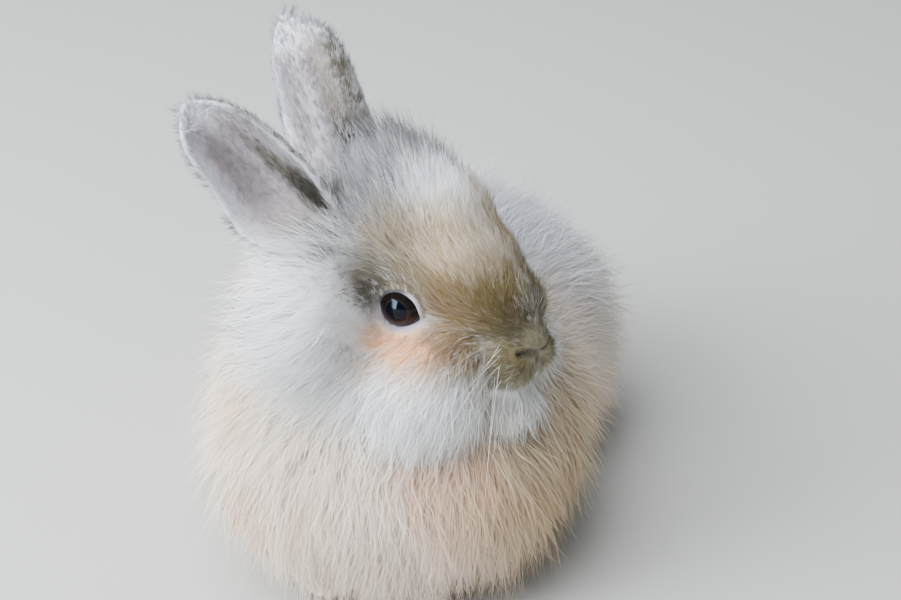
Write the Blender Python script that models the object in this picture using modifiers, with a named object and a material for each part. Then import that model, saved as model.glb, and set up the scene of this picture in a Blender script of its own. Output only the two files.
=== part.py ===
"""A long-coated dwarf rabbit, sitting low with its head turned to its left.

The animal faces -Y, its left side is +X, and it rests on its feet at Z = 0. Flesh and the dense
inner coat are egg shapes blended into one surface, and the outer coat is made of flat, tapered
locks that grow on it along the lie of the hair. The whole is then parted with thin cuts.
Sizes in the tables are in millimetres.
"""

from dataclasses import dataclass, replace
from math import cos, pi, radians, sin

import bmesh
import bpy
import numpy as np
from mathutils import Euler, Matrix, Vector

MM = 0.001
SIDES = (("left", 1), ("right", -1))

# Gap kept between pieces that touch.
GAP = 0.35

# The point between the eyes, and how the head is turned there: pitch, roll and yaw in degrees.
HEAD_AT = (15.0, -49.0, 121.0)
HEAD_TURN = (0.0, 0.0, 66.0)

# Eyes, in the head's own frame: -Y runs to the nose, +X to the animal's left, +Z up.
EYE_RADIUS = 9.0
EYE_AT = (19.0, -1.4, 0.3)
EYE_AXIS = (0.94, -0.30, 0.14)
LID_RADIUS = 7.9
LID_THICKNESS = 1.3
LID_FLATTENING = 0.92
LID_CORNER = 0.24
LID_CORNER_WAY = (-0.15, -0.85, -0.5)

# Ears: the root inside the head, the furred tip, and the way that each cup opens.
EAR_ROOTS = {"left": (10.0, 34.0, 13.0), "right": (-13.0, 26.0, 12.0)}
EAR_TIPS = {"left": (39.0, 90.2, 75.8), "right": (-38.7, 81.0, 70.0)}
EAR_OPENS = {"left": (0.9, 0.2, -0.3), "right": (-0.8, -0.5, 0.2)}
EAR_FLAT_WIDTH = 46.0
EAR_THICKNESS = 5.0
EAR_COLUMNS = 4
EAR_ROWS = 6

# Nose and mouth, in the head's frame: half of a nostril slit, the cleft of the lip, the mouth's side.
NOSTRIL_LINE = ((0.0, -52.0, -13.0), (3.5, -51.0, -11.5), (8.0, -46.0, -9.5))
CLEFT_LINE = ((0.0, -52.0, -12.5), (0.0, -52.0, -18.5), (0.0, -49.0, -26.5))
MOUTH_LINE = ((0.0, -47.0, -27.5), (5.0, -44.0, -29.5), (11.0, -36.0, -30.0), (15.0, -27.0, -28.0))
GROOVE_RADIUS = 0.9
GROOVE_TIP = 0.6

# The skin of the solids, before and after it is made coarser, and how far the finer face reaches.
VOXEL = 3.2
CORE_TRIANGLES = 2300
FACE_CENTRE = (0.0, -20.0, -8.0)
FACE_REACH = 25.0
FACE_FADE = 30.0
COARSENESS = 0.3

# The outer coat. Spacing, width and thickness are shares of a lock's length, and the lift that is
# left at its tip is a share of that at its root. The rings are the places along a lock where its
# outline bends, with the width there.
LOCK_SEED = 7
LOCK_DRAWS = 14000
SHORTEST_LOCK = 16.0
LOWEST_ROOT = 12.0
LOWEST_TIP = 2.0
STUB = 9.0
LOCK_SPACING = 0.60
LOCK_WIDTH = 0.72
LOCK_THICKNESS = 0.2
LOCK_SINK = 4.0
END_LIFT = 0.16
LOCK_RINGS = (0.0, 0.34, 0.7, 1.0)
LOCK_WIDTHS = (0.8, 1.0, 0.72, 0.0)

# Name, colour and roughness of each node's finish.
FINISHES = {
    "coat": ("cream_coat", (0.80, 0.66, 0.50), 0.9),
    "head": ("face_coat", (0.72, 0.53, 0.34), 0.9),
    "ear": ("ear_fur", (0.47, 0.42, 0.42), 0.9),
    "eye": ("eye", (0.035, 0.016, 0.010), 0.08),
}

# Claws on the tips of the toes.
CLAW_LENGTH = 7.0
CLAW_RADIUS = 1.3
CLAW_TIP_RADIUS = 0.3
CLAW_SIDES = 5
CLAW_WAY = (0.0, -0.93, -0.37)

# Where the animal is parted: eggs round the limbs, and planes at the tail, the neck and the head.
# The head's plane is in the head's frame.
LIMB_CUTS = {
    "hindfoot": ((48, 26, 4), (17, 60, 15)),
    "thigh": ((62, 60, 44), (38, 52, 50)),
    "foreleg": ((20, -80, 6), (15, 34, 20)),
}
TAIL_CUT_AT = (0, 112, 40)
TAIL_CUT_WAY = (0, 1, 0.25)
NECK_CUT_AT = (0, -34, 72)
NECK_CUT_WAY = (0.05, -0.35, 0.93)
HEAD_CUT_AT = (0, 5, -36)
HEAD_CUT_WAY = (0, -0.46, 0.89)


@dataclass(frozen=True)
class Form:
    """One egg shape of the animal, and the length, lift and lie of the hair on it."""

    name: str
    at: tuple
    radii: tuple
    turn: tuple = (0.0, 0.0, 0.0)
    blend: float = 12.0
    fur: float = 0.0
    lift: float = 50.0
    lie: tuple = (0.0, 1.0, -0.3)


def both_sides(*forms):
    """Each form as given on the left, and its mirror image on the right."""
    found = []
    for form in forms:
        x, y, z = form.at
        pitch, roll, yaw = form.turn
        lie_x, lie_y, lie_z = form.lie
        found.append(replace(form, name=form.name + "_left"))
        found.append(
            replace(
                form,
                name=form.name + "_right",
                at=(-x, y, z),
                turn=(pitch, -roll, -yaw),
                lie=(-lie_x, lie_y, lie_z),
            )
        )
    return tuple(found)


def toes(name, heel, count, spread, length, radius):
    """A row of toes side by side, as forms, the middle ones longer."""
    x, y, z = heel
    found = []
    for i in range(count):
        across = (i / (count - 1) - 0.5) * spread
        back = abs(across) * 0.35
        found.append(
            Form(f"{name}_{i}", (x + across, y + back, z), (radius, length, radius * 1.15), blend=2.5)
        )
    return found


TORSO_FORMS = (
    Form("chest", (0, -34, 54), (64, 44, 50), blend=16, fur=33, lie=(0, -0.3, -1)),
    Form("bib", (0, -62, 46), (56, 34, 41), blend=16, fur=33, lie=(0, -0.25, -1)),
    Form("shoulders", (0, -12, 58), (64, 46, 46), blend=18, fur=33, lie=(0, 0.9, -0.7)),
    Form("neck", (2, -36, 88), (46, 38, 32), blend=16, fur=33, lie=(0, 0.9, -0.5)),
    Form("back", (0, 30, 52), (60, 58, 48), blend=20, fur=33, lie=(0, 1, -0.45)),
    Form("rump", (0, 72, 50), (59, 44, 47), blend=20, fur=33, lie=(0, 1, -0.7)),
    Form("belly", (0, 16, 34), (60, 80, 27), blend=16, fur=22, lie=(0, 0.5, -1)),
    Form("tail", (0, 117, 38), (12, 12, 17), turn=(-25, 0, 0), blend=8, fur=18, lift=30, lie=(0, 0.6, 1)),
)
LEG_FORMS = both_sides(
    Form("thigh", (46, 56, 42), (26, 40, 39), blend=14, fur=35, lift=58, lie=(0.2, 1, -0.7)),
    Form("hindfoot", (48, 34, 8), (11, 38, 9.5), blend=6, fur=0),
    Form("foreleg", (20, -56, 24), (14, 16, 26), blend=8, fur=0, lie=(0, -0.2, -1)),
    Form("forepaw", (19, -75, 7), (9, 17, 8), blend=6, fur=0),
    *toes("hindtoe", (48, -2, 6), 4, 14, 9, 3.6),
    *toes("foretoe", (19, -88, 5), 4, 12, 6, 3.1),
)
HEAD_FORMS = (
    Form("skull", (0, 12, 2), (22, 27, 23), blend=10, fur=8),
    Form("forehead", (0, -13, 9), (22.5, 25, 22), blend=10, fur=7, lie=(0, 1, 0.5)),
    Form("bridge", (0, -27, -1.5), (15, 21, 16.5), blend=9, fur=4, lie=(0, 1, 0.4)),
    Form("cap", (0, 12, 24), (23, 23, 21), blend=10, fur=27, lift=60, lie=(0, 0.7, 0.8)),
    Form("forelock", (2, -6, 26), (18, 17, 13), blend=8, fur=21, lift=52, lie=(0.3, 0.3, 1)),
    Form("nose", (0, -46, -10.5), (6, 5.5, 6.5), blend=5, fur=0),
    Form("chin", (0, -29, -36), (12, 15, 12), blend=5, fur=20, lift=32, lie=(0, 0.3, -1)),
    Form("throat", (0, 8, -24), (24, 28, 22), blend=14, fur=24, lie=(0, 0.5, -1)),
    Form("nape", (0, 30, 0), (28, 24, 25), blend=14, fur=28, lie=(0, 1, -0.1)),
    *both_sides(
        Form("lip", (6.5, -38, -19), (10, 12, 11.5), blend=4, fur=3, lie=(0.4, 0.9, -0.5)),
        Form("brow", (13, -1.5, 3.5), (9.5, 13, 11), blend=4, fur=4, lie=(0.2, 1, 0.3)),
        Form("cheek", (19, -13, -21), (18, 22, 17), blend=8, fur=16, lie=(0.2, 1, -0.7)),
        Form("jowl", (20, -4, -33), (20, 25, 18), blend=12, fur=28, lie=(0.25, 0.3, -1)),
        Form("ruff", (33, 24, -8), (20, 19, 27), blend=12, fur=30, lift=40, lie=(0.6, 0.9, -0.8)),
    ),
)


def frame_matrix(at, turn):
    """The matrix of a frame at a point, turned by pitch, roll and yaw in degrees."""
    return Matrix.Translation(at) @ Euler([radians(a) for a in turn]).to_matrix().to_4x4()


HEAD = frame_matrix(HEAD_AT, HEAD_TURN)


def placed_forms():
    """Every form with the matrix from its own axes to the animal's."""
    found = [(form, frame_matrix(form.at, form.turn), Matrix()) for form in TORSO_FORMS + LEG_FORMS]
    found += [(form, HEAD @ frame_matrix(form.at, form.turn), HEAD) for form in HEAD_FORMS]
    return found


class Flesh:
    """The blended surface of all forms: how far a point lies outside it, and the hair that grows there."""

    HAIR_BLEND = 5.0
    PROBE = 0.2

    def __init__(self, placed):
        self.placed = placed
        self.inverses = [np.array(matrix.inverted()) for _, matrix, _ in placed]
        self.lies = [np.array(carrier.to_3x3() @ Vector(form.lie).normalized()) for form, _, carrier in placed]

    def distances(self, points):
        """The distance from each point to each form, one row for each form."""
        rows = []
        for (form, _, _), inverse in zip(self.placed, self.inverses):
            local = points @ inverse[:3, :3].T + inverse[:3, 3]
            radii = np.array(form.radii)
            near = np.linalg.norm(local / radii, axis=1)
            slope = np.linalg.norm(local / radii**2, axis=1)
            rows.append(near * (near - 1) / np.maximum(slope, 1e-9))
        return np.array(rows)

    def outside(self, points):
        """How far each point lies outside the blended surface."""
        rows = self.distances(points)
        total = rows[0]
        for (form, _, _), row in zip(self.placed[1:], rows[1:]):
            reach = np.maximum(form.blend - np.abs(total - row), 0) / form.blend
            total = np.minimum(total, row) - reach**2 * form.blend / 4
        return total

    def normals(self, points):
        """The slope of the distance at each point, which points outwards."""
        steps = np.eye(3) * self.PROBE
        ahead = [self.outside(points + step) for step in steps]
        behind = [self.outside(points - step) for step in steps]
        return (np.array(ahead) - np.array(behind)).T / (2 * self.PROBE)

    def settle(self, points, level=0.0, rounds=8):
        """Moves points to where the surface, grown by level, passes them."""
        for _ in range(rounds):
            slope = self.normals(points)
            steep = np.maximum((slope**2).sum(axis=1), 0.05)
            step = (self.outside(points) - level) / steep
            points = points - slope * np.clip(step, -6, 6)[:, None]
        return points

    def hair(self, points):
        """The length, the lift and the lie of the hair at each point."""
        rows = self.distances(points)
        weights = np.exp(-(rows - rows.min(axis=0)) / self.HAIR_BLEND)
        weights /= weights.sum(axis=0)
        length = weights.T @ np.array([form.fur for form, _, _ in self.placed])
        lift = weights.T @ np.array([form.lift for form, _, _ in self.placed])
        lie = weights.T @ np.array(self.lies)
        return length, lift, lie


def clear_scene():
    """Removes the objects that the file starts with."""
    for obj in list(bpy.data.objects):
        bpy.data.objects.remove(obj)


def collection(name, hidden=False):
    """A new collection in the scene."""
    made = bpy.data.collections.new(name)
    bpy.context.scene.collection.children.link(made)
    made.hide_render = hidden
    return made


def material(name, colour, roughness):
    """A plain material of one colour."""
    made = bpy.data.materials.new(name)
    made.use_nodes = True
    shader = made.node_tree.nodes["Principled BSDF"]
    shader.inputs["Base Color"].default_value = (*colour, 1)
    shader.inputs["Roughness"].default_value = roughness
    shader.inputs["Metallic"].default_value = 0.0
    made.diffuse_color = (*colour, 1)
    return made


def mesh_object(name, bm, into):
    """An object made of a bmesh whose sizes are in millimetres."""
    bmesh.ops.scale(bm, vec=(MM, MM, MM), verts=bm.verts)
    mesh = bpy.data.meshes.new(name)
    bm.to_mesh(mesh)
    bm.free()
    obj = bpy.data.objects.new(name, mesh)
    into.objects.link(obj)
    return obj


def points_of(mesh):
    """The vertices of a mesh in millimetres."""
    flat = np.empty(len(mesh.vertices) * 3)
    mesh.vertices.foreach_get("co", flat)
    return flat.reshape(-1, 3) / MM


def put_points(mesh, points):
    """Moves the vertices of a mesh to points in millimetres."""
    mesh.vertices.foreach_set("co", (points * MM).ravel())
    mesh.update()


def bake(obj):
    """Applies an object's modifiers to its mesh."""
    graph = bpy.context.evaluated_depsgraph_get()
    baked = bpy.data.meshes.new_from_object(obj.evaluated_get(graph))
    obj.modifiers.clear()
    old = obj.data
    obj.data = baked
    bpy.data.meshes.remove(old)


def remove(*objects):
    """Deletes helper objects with their data."""
    for obj in objects:
        data = obj.data
        bpy.data.objects.remove(obj)
        if data.users == 0 and isinstance(data, bpy.types.Mesh):
            bpy.data.meshes.remove(data)


def join_all(obj, others):
    """Fuses every object of a collection to obj in one Boolean union."""
    union = obj.modifiers.new("join", "BOOLEAN")
    union.operation = "UNION"
    union.operand_type = "COLLECTION"
    union.collection = others
    union.solver = "MANIFOLD"
    bake(obj)
    remove(*list(others.objects))


def cut(obj, operation, tool):
    """Applies one Boolean cut with a closed tool."""
    boolean = obj.modifiers.new("cut", "BOOLEAN")
    boolean.operation = operation
    boolean.object = tool
    boolean.solver = "MANIFOLD"
    bake(obj)


def keep_largest(obj):
    """Keeps only the largest closed surface of a mesh."""
    bm = bmesh.new()
    bm.from_mesh(obj.data)
    bmesh.ops.triangulate(bm, faces=bm.faces)
    left = set(bm.verts)
    shells = []
    while left:
        edge = [left.pop()]
        shell = set(edge)
        while edge:
            vertex = edge.pop()
            for link in vertex.link_edges:
                other = link.other_vert(vertex)
                if other in left:
                    left.remove(other)
                    shell.add(other)
                    edge.append(other)
        shells.append(shell)

    def volume(shell):
        faces = {face for vertex in shell for face in vertex.link_faces}
        return abs(sum(f.verts[0].co.dot(f.verts[1].co.cross(f.verts[2].co)) for f in faces))

    shells.sort(key=volume)
    scraps = [vertex for shell in shells[:-1] for vertex in shell]
    bmesh.ops.delete(bm, geom=scraps, context="VERTS")
    bm.to_mesh(obj.data)
    bm.free()


def core(flesh, into):
    """The blended surface as one closed mesh, coarser away from the face."""
    bm = bmesh.new()
    for form, matrix, _ in flesh.placed:
        scaled = matrix @ Matrix.Diagonal((*form.radii, 1))
        bmesh.ops.create_icosphere(bm, subdivisions=3, radius=1, matrix=scaled)
    obj = mesh_object("core", bm, into)
    remesh = obj.modifiers.new("fuse", "REMESH")
    remesh.mode = "VOXEL"
    remesh.voxel_size = VOXEL * MM
    bake(obj)
    put_points(obj.data, flesh.settle(points_of(obj.data)))
    away = np.linalg.norm(points_of(obj.data) - np.array(HEAD @ Vector(FACE_CENTRE)), axis=1)
    coarse = obj.vertex_groups.new(name="coarse")
    for index, weight in enumerate(np.clip((away - FACE_REACH) / FACE_FADE, 0.0, 1.0)):
        coarse.add([index], float(weight), "REPLACE")
    fewer = obj.modifiers.new("fewer", "DECIMATE")
    fewer.ratio = CORE_TRIANGLES / (2 * len(obj.data.polygons))
    fewer.vertex_group = "coarse"
    fewer.vertex_group_factor = COARSENESS
    bake(obj)
    obj.vertex_groups.clear()
    return obj


def scatter(mesh, spacing_at, seed):
    """Points spread over a mesh, none closer to another than the spacing at it."""
    rng = np.random.default_rng(seed)
    mesh.calc_loop_triangles()
    corners = np.empty(len(mesh.loop_triangles) * 3, np.int32)
    mesh.loop_triangles.foreach_get("vertices", corners)
    corners = points_of(mesh)[corners.reshape(-1, 3)]
    normals = np.cross(corners[:, 1] - corners[:, 0], corners[:, 2] - corners[:, 0])
    areas = np.linalg.norm(normals, axis=1)
    picked = rng.choice(len(areas), size=LOCK_DRAWS, p=areas / areas.sum())
    u, v = rng.random((2, len(picked), 1))
    turned = u + v > 1
    u, v = np.where(turned, 1 - u, u), np.where(turned, 1 - v, v)
    a, b, c = corners[picked].transpose(1, 0, 2)
    candidates = a + (b - a) * u + (c - a) * v
    spacing = spacing_at(candidates)
    kept = np.empty((0, 3))
    for point, gap in zip(candidates, spacing):
        if np.all(((kept - point) ** 2).sum(axis=1) > gap**2) and np.isfinite(gap):
            kept = np.vstack([kept, point])
    return kept


def unit_lock():
    """A three-sided cone cut into rings: X across, Y through and Z along the lock, in units of its size."""
    bm = bmesh.new()
    bmesh.ops.create_cone(bm, cap_ends=True, segments=3, radius1=0.5, radius2=0, depth=1)
    bmesh.ops.translate(bm, vec=(0, 0, 0.5), verts=bm.verts)
    for level in LOCK_RINGS[1:-1]:
        everything = bm.verts[:] + bm.edges[:] + bm.faces[:]
        bmesh.ops.bisect_plane(bm, geom=everything, plane_co=(0, 0, level), plane_no=(0, 0, 1))
    for vertex in bm.verts:
        taper = max(1 - vertex.co.z, 1e-6)
        vertex.co.x /= taper if vertex.co.z < 0.999 else 1
        vertex.co.y /= taper if vertex.co.z < 0.999 else 1
    if bm.calc_volume(signed=True) < 0:
        bmesh.ops.reverse_faces(bm, faces=bm.faces)
    return bm


class Lock:
    """One flat, tapered lock that leaves the coat steeply and bends over along the lie."""

    STEPS = 12

    def __init__(self, root, normal, lie, length, lift, rng):
        self.length = length * rng.uniform(0.88, 1.12)
        self.width = length * LOCK_WIDTH * rng.uniform(0.85, 1.15)
        self.thickness = length * LOCK_THICKNESS * rng.uniform(0.9, 1.1)
        self.out = Vector(normal).normalized()
        along = Vector(lie) - self.out * self.out.dot(Vector(lie))
        along.rotate(Matrix.Rotation(rng.normal(0, radians(9)), 3, self.out))
        self.along = along.normalized()
        self.across = self.out.cross(self.along)
        self.start = Vector(root) - self.out * LOCK_SINK
        self.lift = radians(lift + rng.uniform(-6, 6))
        self.end_lift = self.lift * END_LIFT

    def centre(self, share):
        """The point of the centre line at a share of the length, and the way out of the lock's flat there."""
        point = self.start.copy()
        steps = max(1, round(self.STEPS * share))
        for step in range(steps):
            angle = self.lift + (self.end_lift - self.lift) * share * (step + 0.5) / steps
            point += (self.along * cos(angle) + self.out * sin(angle)) * (self.length * share / steps)
        angle = self.lift + (self.end_lift - self.lift) * share
        return point, self.out * cos(angle) - self.along * sin(angle)

    def keep_above(self, height):
        """Shortens a lock whose tip would hang below a height."""
        drop = self.start.z - self.centre(1.0)[0].z
        if self.start.z - drop < height:
            self.length *= (self.start.z - height) / drop

    def build(self, name, template, into):
        """The lock as a closed mesh object."""
        bm = template.copy()
        for vertex in bm.verts:
            share = vertex.co.z
            point, flat = self.centre(share)
            width = self.width * np.interp(share, LOCK_RINGS, LOCK_WIDTHS)
            thick = self.thickness * (1 - 0.55 * share)
            vertex.co = point + self.across * (vertex.co.x * width) + flat * (vertex.co.y * thick)
        return mesh_object(name, bm, into)


def grow_locks(flesh, skin, into):
    """The outer coat: a lock on every root that is far enough from the rest."""
    rng = np.random.default_rng(LOCK_SEED)

    def spacing(points):
        length, _, _ = flesh.hair(points)
        gaps = length * LOCK_SPACING
        gaps[(length < SHORTEST_LOCK) | (points[:, 2] < LOWEST_ROOT)] = np.inf
        return gaps

    roots = scatter(skin.data, spacing, LOCK_SEED)
    roots = flesh.settle(roots, rounds=3)
    normals = flesh.normals(roots)
    lengths, lifts, lies = flesh.hair(roots)
    template = unit_lock()
    for root, normal, length, lift, lie in zip(roots, normals, lengths, lifts, lies):
        lock = Lock(root, normal, lie, length, lift, rng)
        lock.keep_above(LOWEST_TIP)
        if lock.length > STUB:
            lock.build("lock", template, into)
    template.free()


def tube(name, points, radius, into, tip=1.0):
    """A closed round tube along points in millimetres."""
    curve = bpy.data.curves.new(name, "CURVE")
    curve.dimensions = "3D"
    curve.bevel_depth = radius * MM
    curve.bevel_resolution = 1
    curve.resolution_u = 3
    curve.use_fill_caps = True
    spline = curve.splines.new("BEZIER")
    spline.bezier_points.add(len(points) - 1)
    for index, (bezier, point) in enumerate(zip(spline.bezier_points, points)):
        bezier.co = Vector(point) * MM
        bezier.handle_left_type = bezier.handle_right_type = "AUTO"
        bezier.radius = 1 + (tip - 1) * index / (len(points) - 1)
    line = bpy.data.objects.new(name, curve)
    into.objects.link(line)
    graph = bpy.context.evaluated_depsgraph_get()
    mesh = bpy.data.meshes.new_from_object(line.evaluated_get(graph))
    bpy.data.objects.remove(line)
    bpy.data.curves.remove(curve)
    bm = bmesh.new()
    bm.from_mesh(mesh)
    bmesh.ops.remove_doubles(bm, verts=bm.verts, dist=0.01 * MM)
    bmesh.ops.recalc_face_normals(bm, faces=bm.faces)
    bm.to_mesh(mesh)
    bm.free()
    obj = bpy.data.objects.new(name, mesh)
    into.objects.link(obj)
    return obj


def claws(into):
    """A claw at the tip of every toe, its root inside the toe."""
    for form in LEG_FORMS:
        if "toe" not in form.name:
            continue
        bm = bmesh.new()
        tip = Vector(form.at) - Vector((0, form.radii[1], 0))
        turn = Vector(CLAW_WAY).to_track_quat("Z", "Y").to_matrix().to_4x4()
        bmesh.ops.create_cone(
            bm,
            cap_ends=True,
            segments=CLAW_SIDES,
            radius1=CLAW_RADIUS,
            radius2=CLAW_TIP_RADIUS,
            depth=CLAW_LENGTH,
            matrix=Matrix.Translation(tip) @ turn,
        )
        mesh_object(f"claw_{form.name}", bm, into)


def head_point(point, side=1):
    """A point of the head's frame, mirrored to a side, in the animal's frame."""
    x, y, z = point
    return HEAD @ Vector((x * side, y, z))


def head_way(way, side=1):
    """A direction of the head's frame, mirrored to a side, in the animal's frame."""
    x, y, z = way
    return (HEAD.to_3x3() @ Vector((x * side, y, z))).normalized()


def on_skin(flesh, points):
    """Points moved onto the skin."""
    return [Vector(p) for p in flesh.settle(np.array([tuple(p) for p in points]))]


def eyeball(side, grown, into, name):
    """An eye as a ball, grown by a margin."""
    bm = bmesh.new()
    place = Matrix.Translation(head_point(EYE_AT, side))
    bmesh.ops.create_uvsphere(bm, u_segments=14, v_segments=9, radius=EYE_RADIUS + grown, matrix=place)
    return mesh_object(name, bm, into)


def lid_ring(side, into, name):
    """The rim of both lids, a ring that hugs the eyeball."""
    axis = head_way(EYE_AXIS, side)
    ahead = (EYE_RADIUS**2 - LID_RADIUS**2) ** 0.5
    centre = head_point(EYE_AT, side) + axis * ahead
    turn = axis.to_track_quat("Z", "Y").to_matrix().to_4x4()
    bpy.ops.mesh.primitive_torus_add(
        major_segments=16,
        minor_segments=6,
        major_radius=LID_RADIUS * MM,
        minor_radius=LID_THICKNESS * MM,
    )
    ring = bpy.context.object
    ring.name = name
    corner = (turn.inverted() @ head_way(LID_CORNER_WAY, side)).to_2d().normalized()
    for vertex in ring.data.vertices:
        way = vertex.co.to_2d()
        pull = max(way.normalized().dot(corner), 0) ** 5 * LID_CORNER
        along = corner * way.dot(corner)
        across = (way - along) * LID_FLATTENING
        placed = (along + across) * (1 + pull)
        sunk = (placed.length - way.length) * 1.1
        vertex.co = (*placed, vertex.co.z - sunk)
    ring.data.transform(Matrix.Translation(centre * MM) @ turn)
    for owner in list(ring.users_collection):
        owner.objects.unlink(ring)
    into.objects.link(ring)
    return ring


def ear_point(across, share):
    """A point of the ear's open surface in its own frame: Z along it, the cup open to -Y."""
    rise = 0.78 + 0.22 * sin(min(share / 0.5, 1) * pi / 2)
    rounding = max(1 - max((share - 0.5) / 0.5, 0) ** 2.6, 0) ** 0.5
    half = EAR_FLAT_WIDTH / 2 * rise * (0.16 + 0.84 * rounding)
    arc = radians(110 - 38 * min(share / 0.45, 1) - 16 * share)
    radius = half / arc
    angle = across * arc
    length = (Vector(EAR_TIPS["left"]) - Vector(EAR_ROOTS["left"])).length
    drop = 5.0 * (abs(across) ** 2) * max(share - 0.55, 0) / 0.45
    back = 5.0 * sin(pi * share)
    return Vector((radius * sin(angle), radius * (cos(angle) - 1) + back, length * share - drop))


def ear(side_name, into, name):
    """One ear: a cupped sheet given its furred thickness, with its root inside the head."""
    bm = bmesh.new()
    bmesh.ops.create_grid(bm, x_segments=EAR_COLUMNS, y_segments=EAR_ROWS, size=1)
    for vertex in bm.verts:
        vertex.co = ear_point(vertex.co.x, (vertex.co.y + 1) / 2)
    root = head_point(EAR_ROOTS[side_name])
    along = (head_point(EAR_TIPS[side_name]) - root).normalized()
    opens = head_way(EAR_OPENS[side_name])
    opens = (opens - along * along.dot(opens)).normalized()
    axes = Matrix((along.cross(opens), -opens, along)).transposed().to_4x4()
    bmesh.ops.transform(bm, matrix=Matrix.Translation(root) @ axes, verts=bm.verts)
    obj = mesh_object(name, bm, into)
    shell = obj.modifiers.new("thickness", "SOLIDIFY")
    shell.thickness = EAR_THICKNESS * MM
    shell.offset = 0
    smooth = obj.modifiers.new("smooth", "SUBSURF")
    smooth.levels = smooth.render_levels = 1
    bake(obj)
    bm = bmesh.new()
    bm.from_mesh(obj.data)
    bmesh.ops.triangulate(bm, faces=bm.faces)
    bmesh.ops.recalc_face_normals(bm, faces=bm.faces)
    bm.to_mesh(obj.data)
    bm.free()
    return obj


def grown_copy(obj, margin, into):
    """A copy of a closed mesh whose skin is moved out by a margin."""
    copy = bpy.data.objects.new(obj.name + "_grown", obj.data.copy())
    into.objects.link(copy)
    bm = bmesh.new()
    bm.from_mesh(copy.data)
    bm.normal_update()
    moved = [vertex.co + vertex.normal * margin * MM for vertex in bm.verts]
    for vertex, place in zip(bm.verts, moved):
        vertex.co = place
    bm.to_mesh(copy.data)
    bm.free()
    return copy


def half_space(name, at, way, into, back=0.0):
    """A big box whose one face passes through a point, with the rest of it along a direction."""
    size = 600
    way = Vector(way).normalized()
    centre = Vector(at) + way * (size / 2 - back)
    turn = way.to_track_quat("Z", "Y").to_matrix().to_4x4()
    bm = bmesh.new()
    bmesh.ops.create_cube(bm, size=size, matrix=Matrix.Translation(centre) @ turn)
    return mesh_object(name, bm, into)


def egg(name, at, radii, grown, into):
    """An egg shape, grown by a margin."""
    bm = bmesh.new()
    size = [radius + grown for radius in radii]
    matrix = Matrix.Translation(at) @ Matrix.Diagonal((*size, 1))
    bmesh.ops.create_uvsphere(bm, u_segments=16, v_segments=8, radius=1, matrix=matrix)
    return mesh_object(name, bm, into)


def part_off(rest, name, inner, outer, into):
    """Takes what lies inside inner off the rest as a node of its own, and cuts the rest back to outer."""
    node = bpy.data.objects.new(name, rest.data.copy())
    into.objects.link(node)
    cut(node, "INTERSECT", inner)
    keep_largest(node)
    cut(rest, "DIFFERENCE", outer)
    remove(inner, outer)
    return node


def colour_node(obj):
    """Gives a node its material, and smooth shading with sharp creases kept."""
    name, colour, roughness = FINISHES.get(obj.name.split("_")[0], FINISHES["coat"])
    made = bpy.data.materials.get(name) or material(name, colour, roughness)
    obj.data.materials.clear()
    obj.data.materials.append(made)
    obj.data.shade_smooth()
    obj.data.set_sharp_from_angle(angle=radians(50))


def make_body(flesh, tools, locks):
    """The whole animal but its eyes and ears, as one closed mesh."""
    body = core(flesh, tools)
    grow_locks(flesh, body, locks)
    claws(locks)
    for side_name, side in SIDES:
        lid_ring(side, locks, f"lid_{side_name}")
    join_all(body, locks)
    keep_largest(body)
    floor = half_space("floor", (0, 0, 0), (0, 0, -1), tools)
    cut(body, "DIFFERENCE", floor)
    remove(floor)
    return body


def set_eyes_and_ears(body, rabbit, tools):
    """Makes the eyes and the ears, and the sockets and seats that they fill."""
    for side_name, side in SIDES:
        eyeball(side, 0.0, rabbit, f"eye_{side_name}")
        socket = eyeball(side, GAP, tools, "socket")
        seat = grown_copy(ear(side_name, rabbit, f"ear_{side_name}"), GAP, tools)
        cut(body, "DIFFERENCE", socket)
        cut(body, "DIFFERENCE", seat)
        remove(socket, seat)


def carve_mouth(flesh, body, tools):
    """Sinks the nostrils, the cleft of the lip and the line of the mouth into the face."""
    lines = [CLEFT_LINE]
    for _, side in SIDES:
        lines += [[(x * side, y, z) for x, y, z in line] for line in (NOSTRIL_LINE, MOUTH_LINE)]
    for line in lines:
        points = on_skin(flesh, [head_point(point) for point in line])
        groove = tube("groove", points, GROOVE_RADIUS, tools, tip=GROOVE_TIP)
        cut(body, "DIFFERENCE", groove)
        remove(groove)


def part_limbs(body, rabbit, tools):
    """Parts the feet, thighs and forelegs off the body."""
    for name, ((x, y, z), radii) in LIMB_CUTS.items():
        for side_name, side in SIDES:
            inner = egg("inner", (x * side, y, z), radii, 0, tools)
            outer = egg("outer", (x * side, y, z), radii, GAP, tools)
            part_off(body, f"{name}_{side_name}", inner, outer, rabbit)


def part_plane(rest, name, at, way, rabbit, tools):
    """Parts what lies beyond a plane off the rest."""
    inner = half_space("inner", at, way, tools)
    outer = half_space("outer", at, way, tools, back=GAP)
    node = part_off(rest, name, inner, outer, rabbit)
    keep_largest(rest)
    return node


def centre_on_floor(nodes):
    """Moves the nodes so that the origin lies below the middle of the animal's box."""
    points = np.vstack([points_of(node.data) for node in nodes])
    low, high = points.min(axis=0), points.max(axis=0)
    middle = Vector(((low[0] + high[0]) / 2, (low[1] + high[1]) / 2, 0)) * MM
    for node in nodes:
        node.data.transform(Matrix.Translation(-middle))


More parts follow.
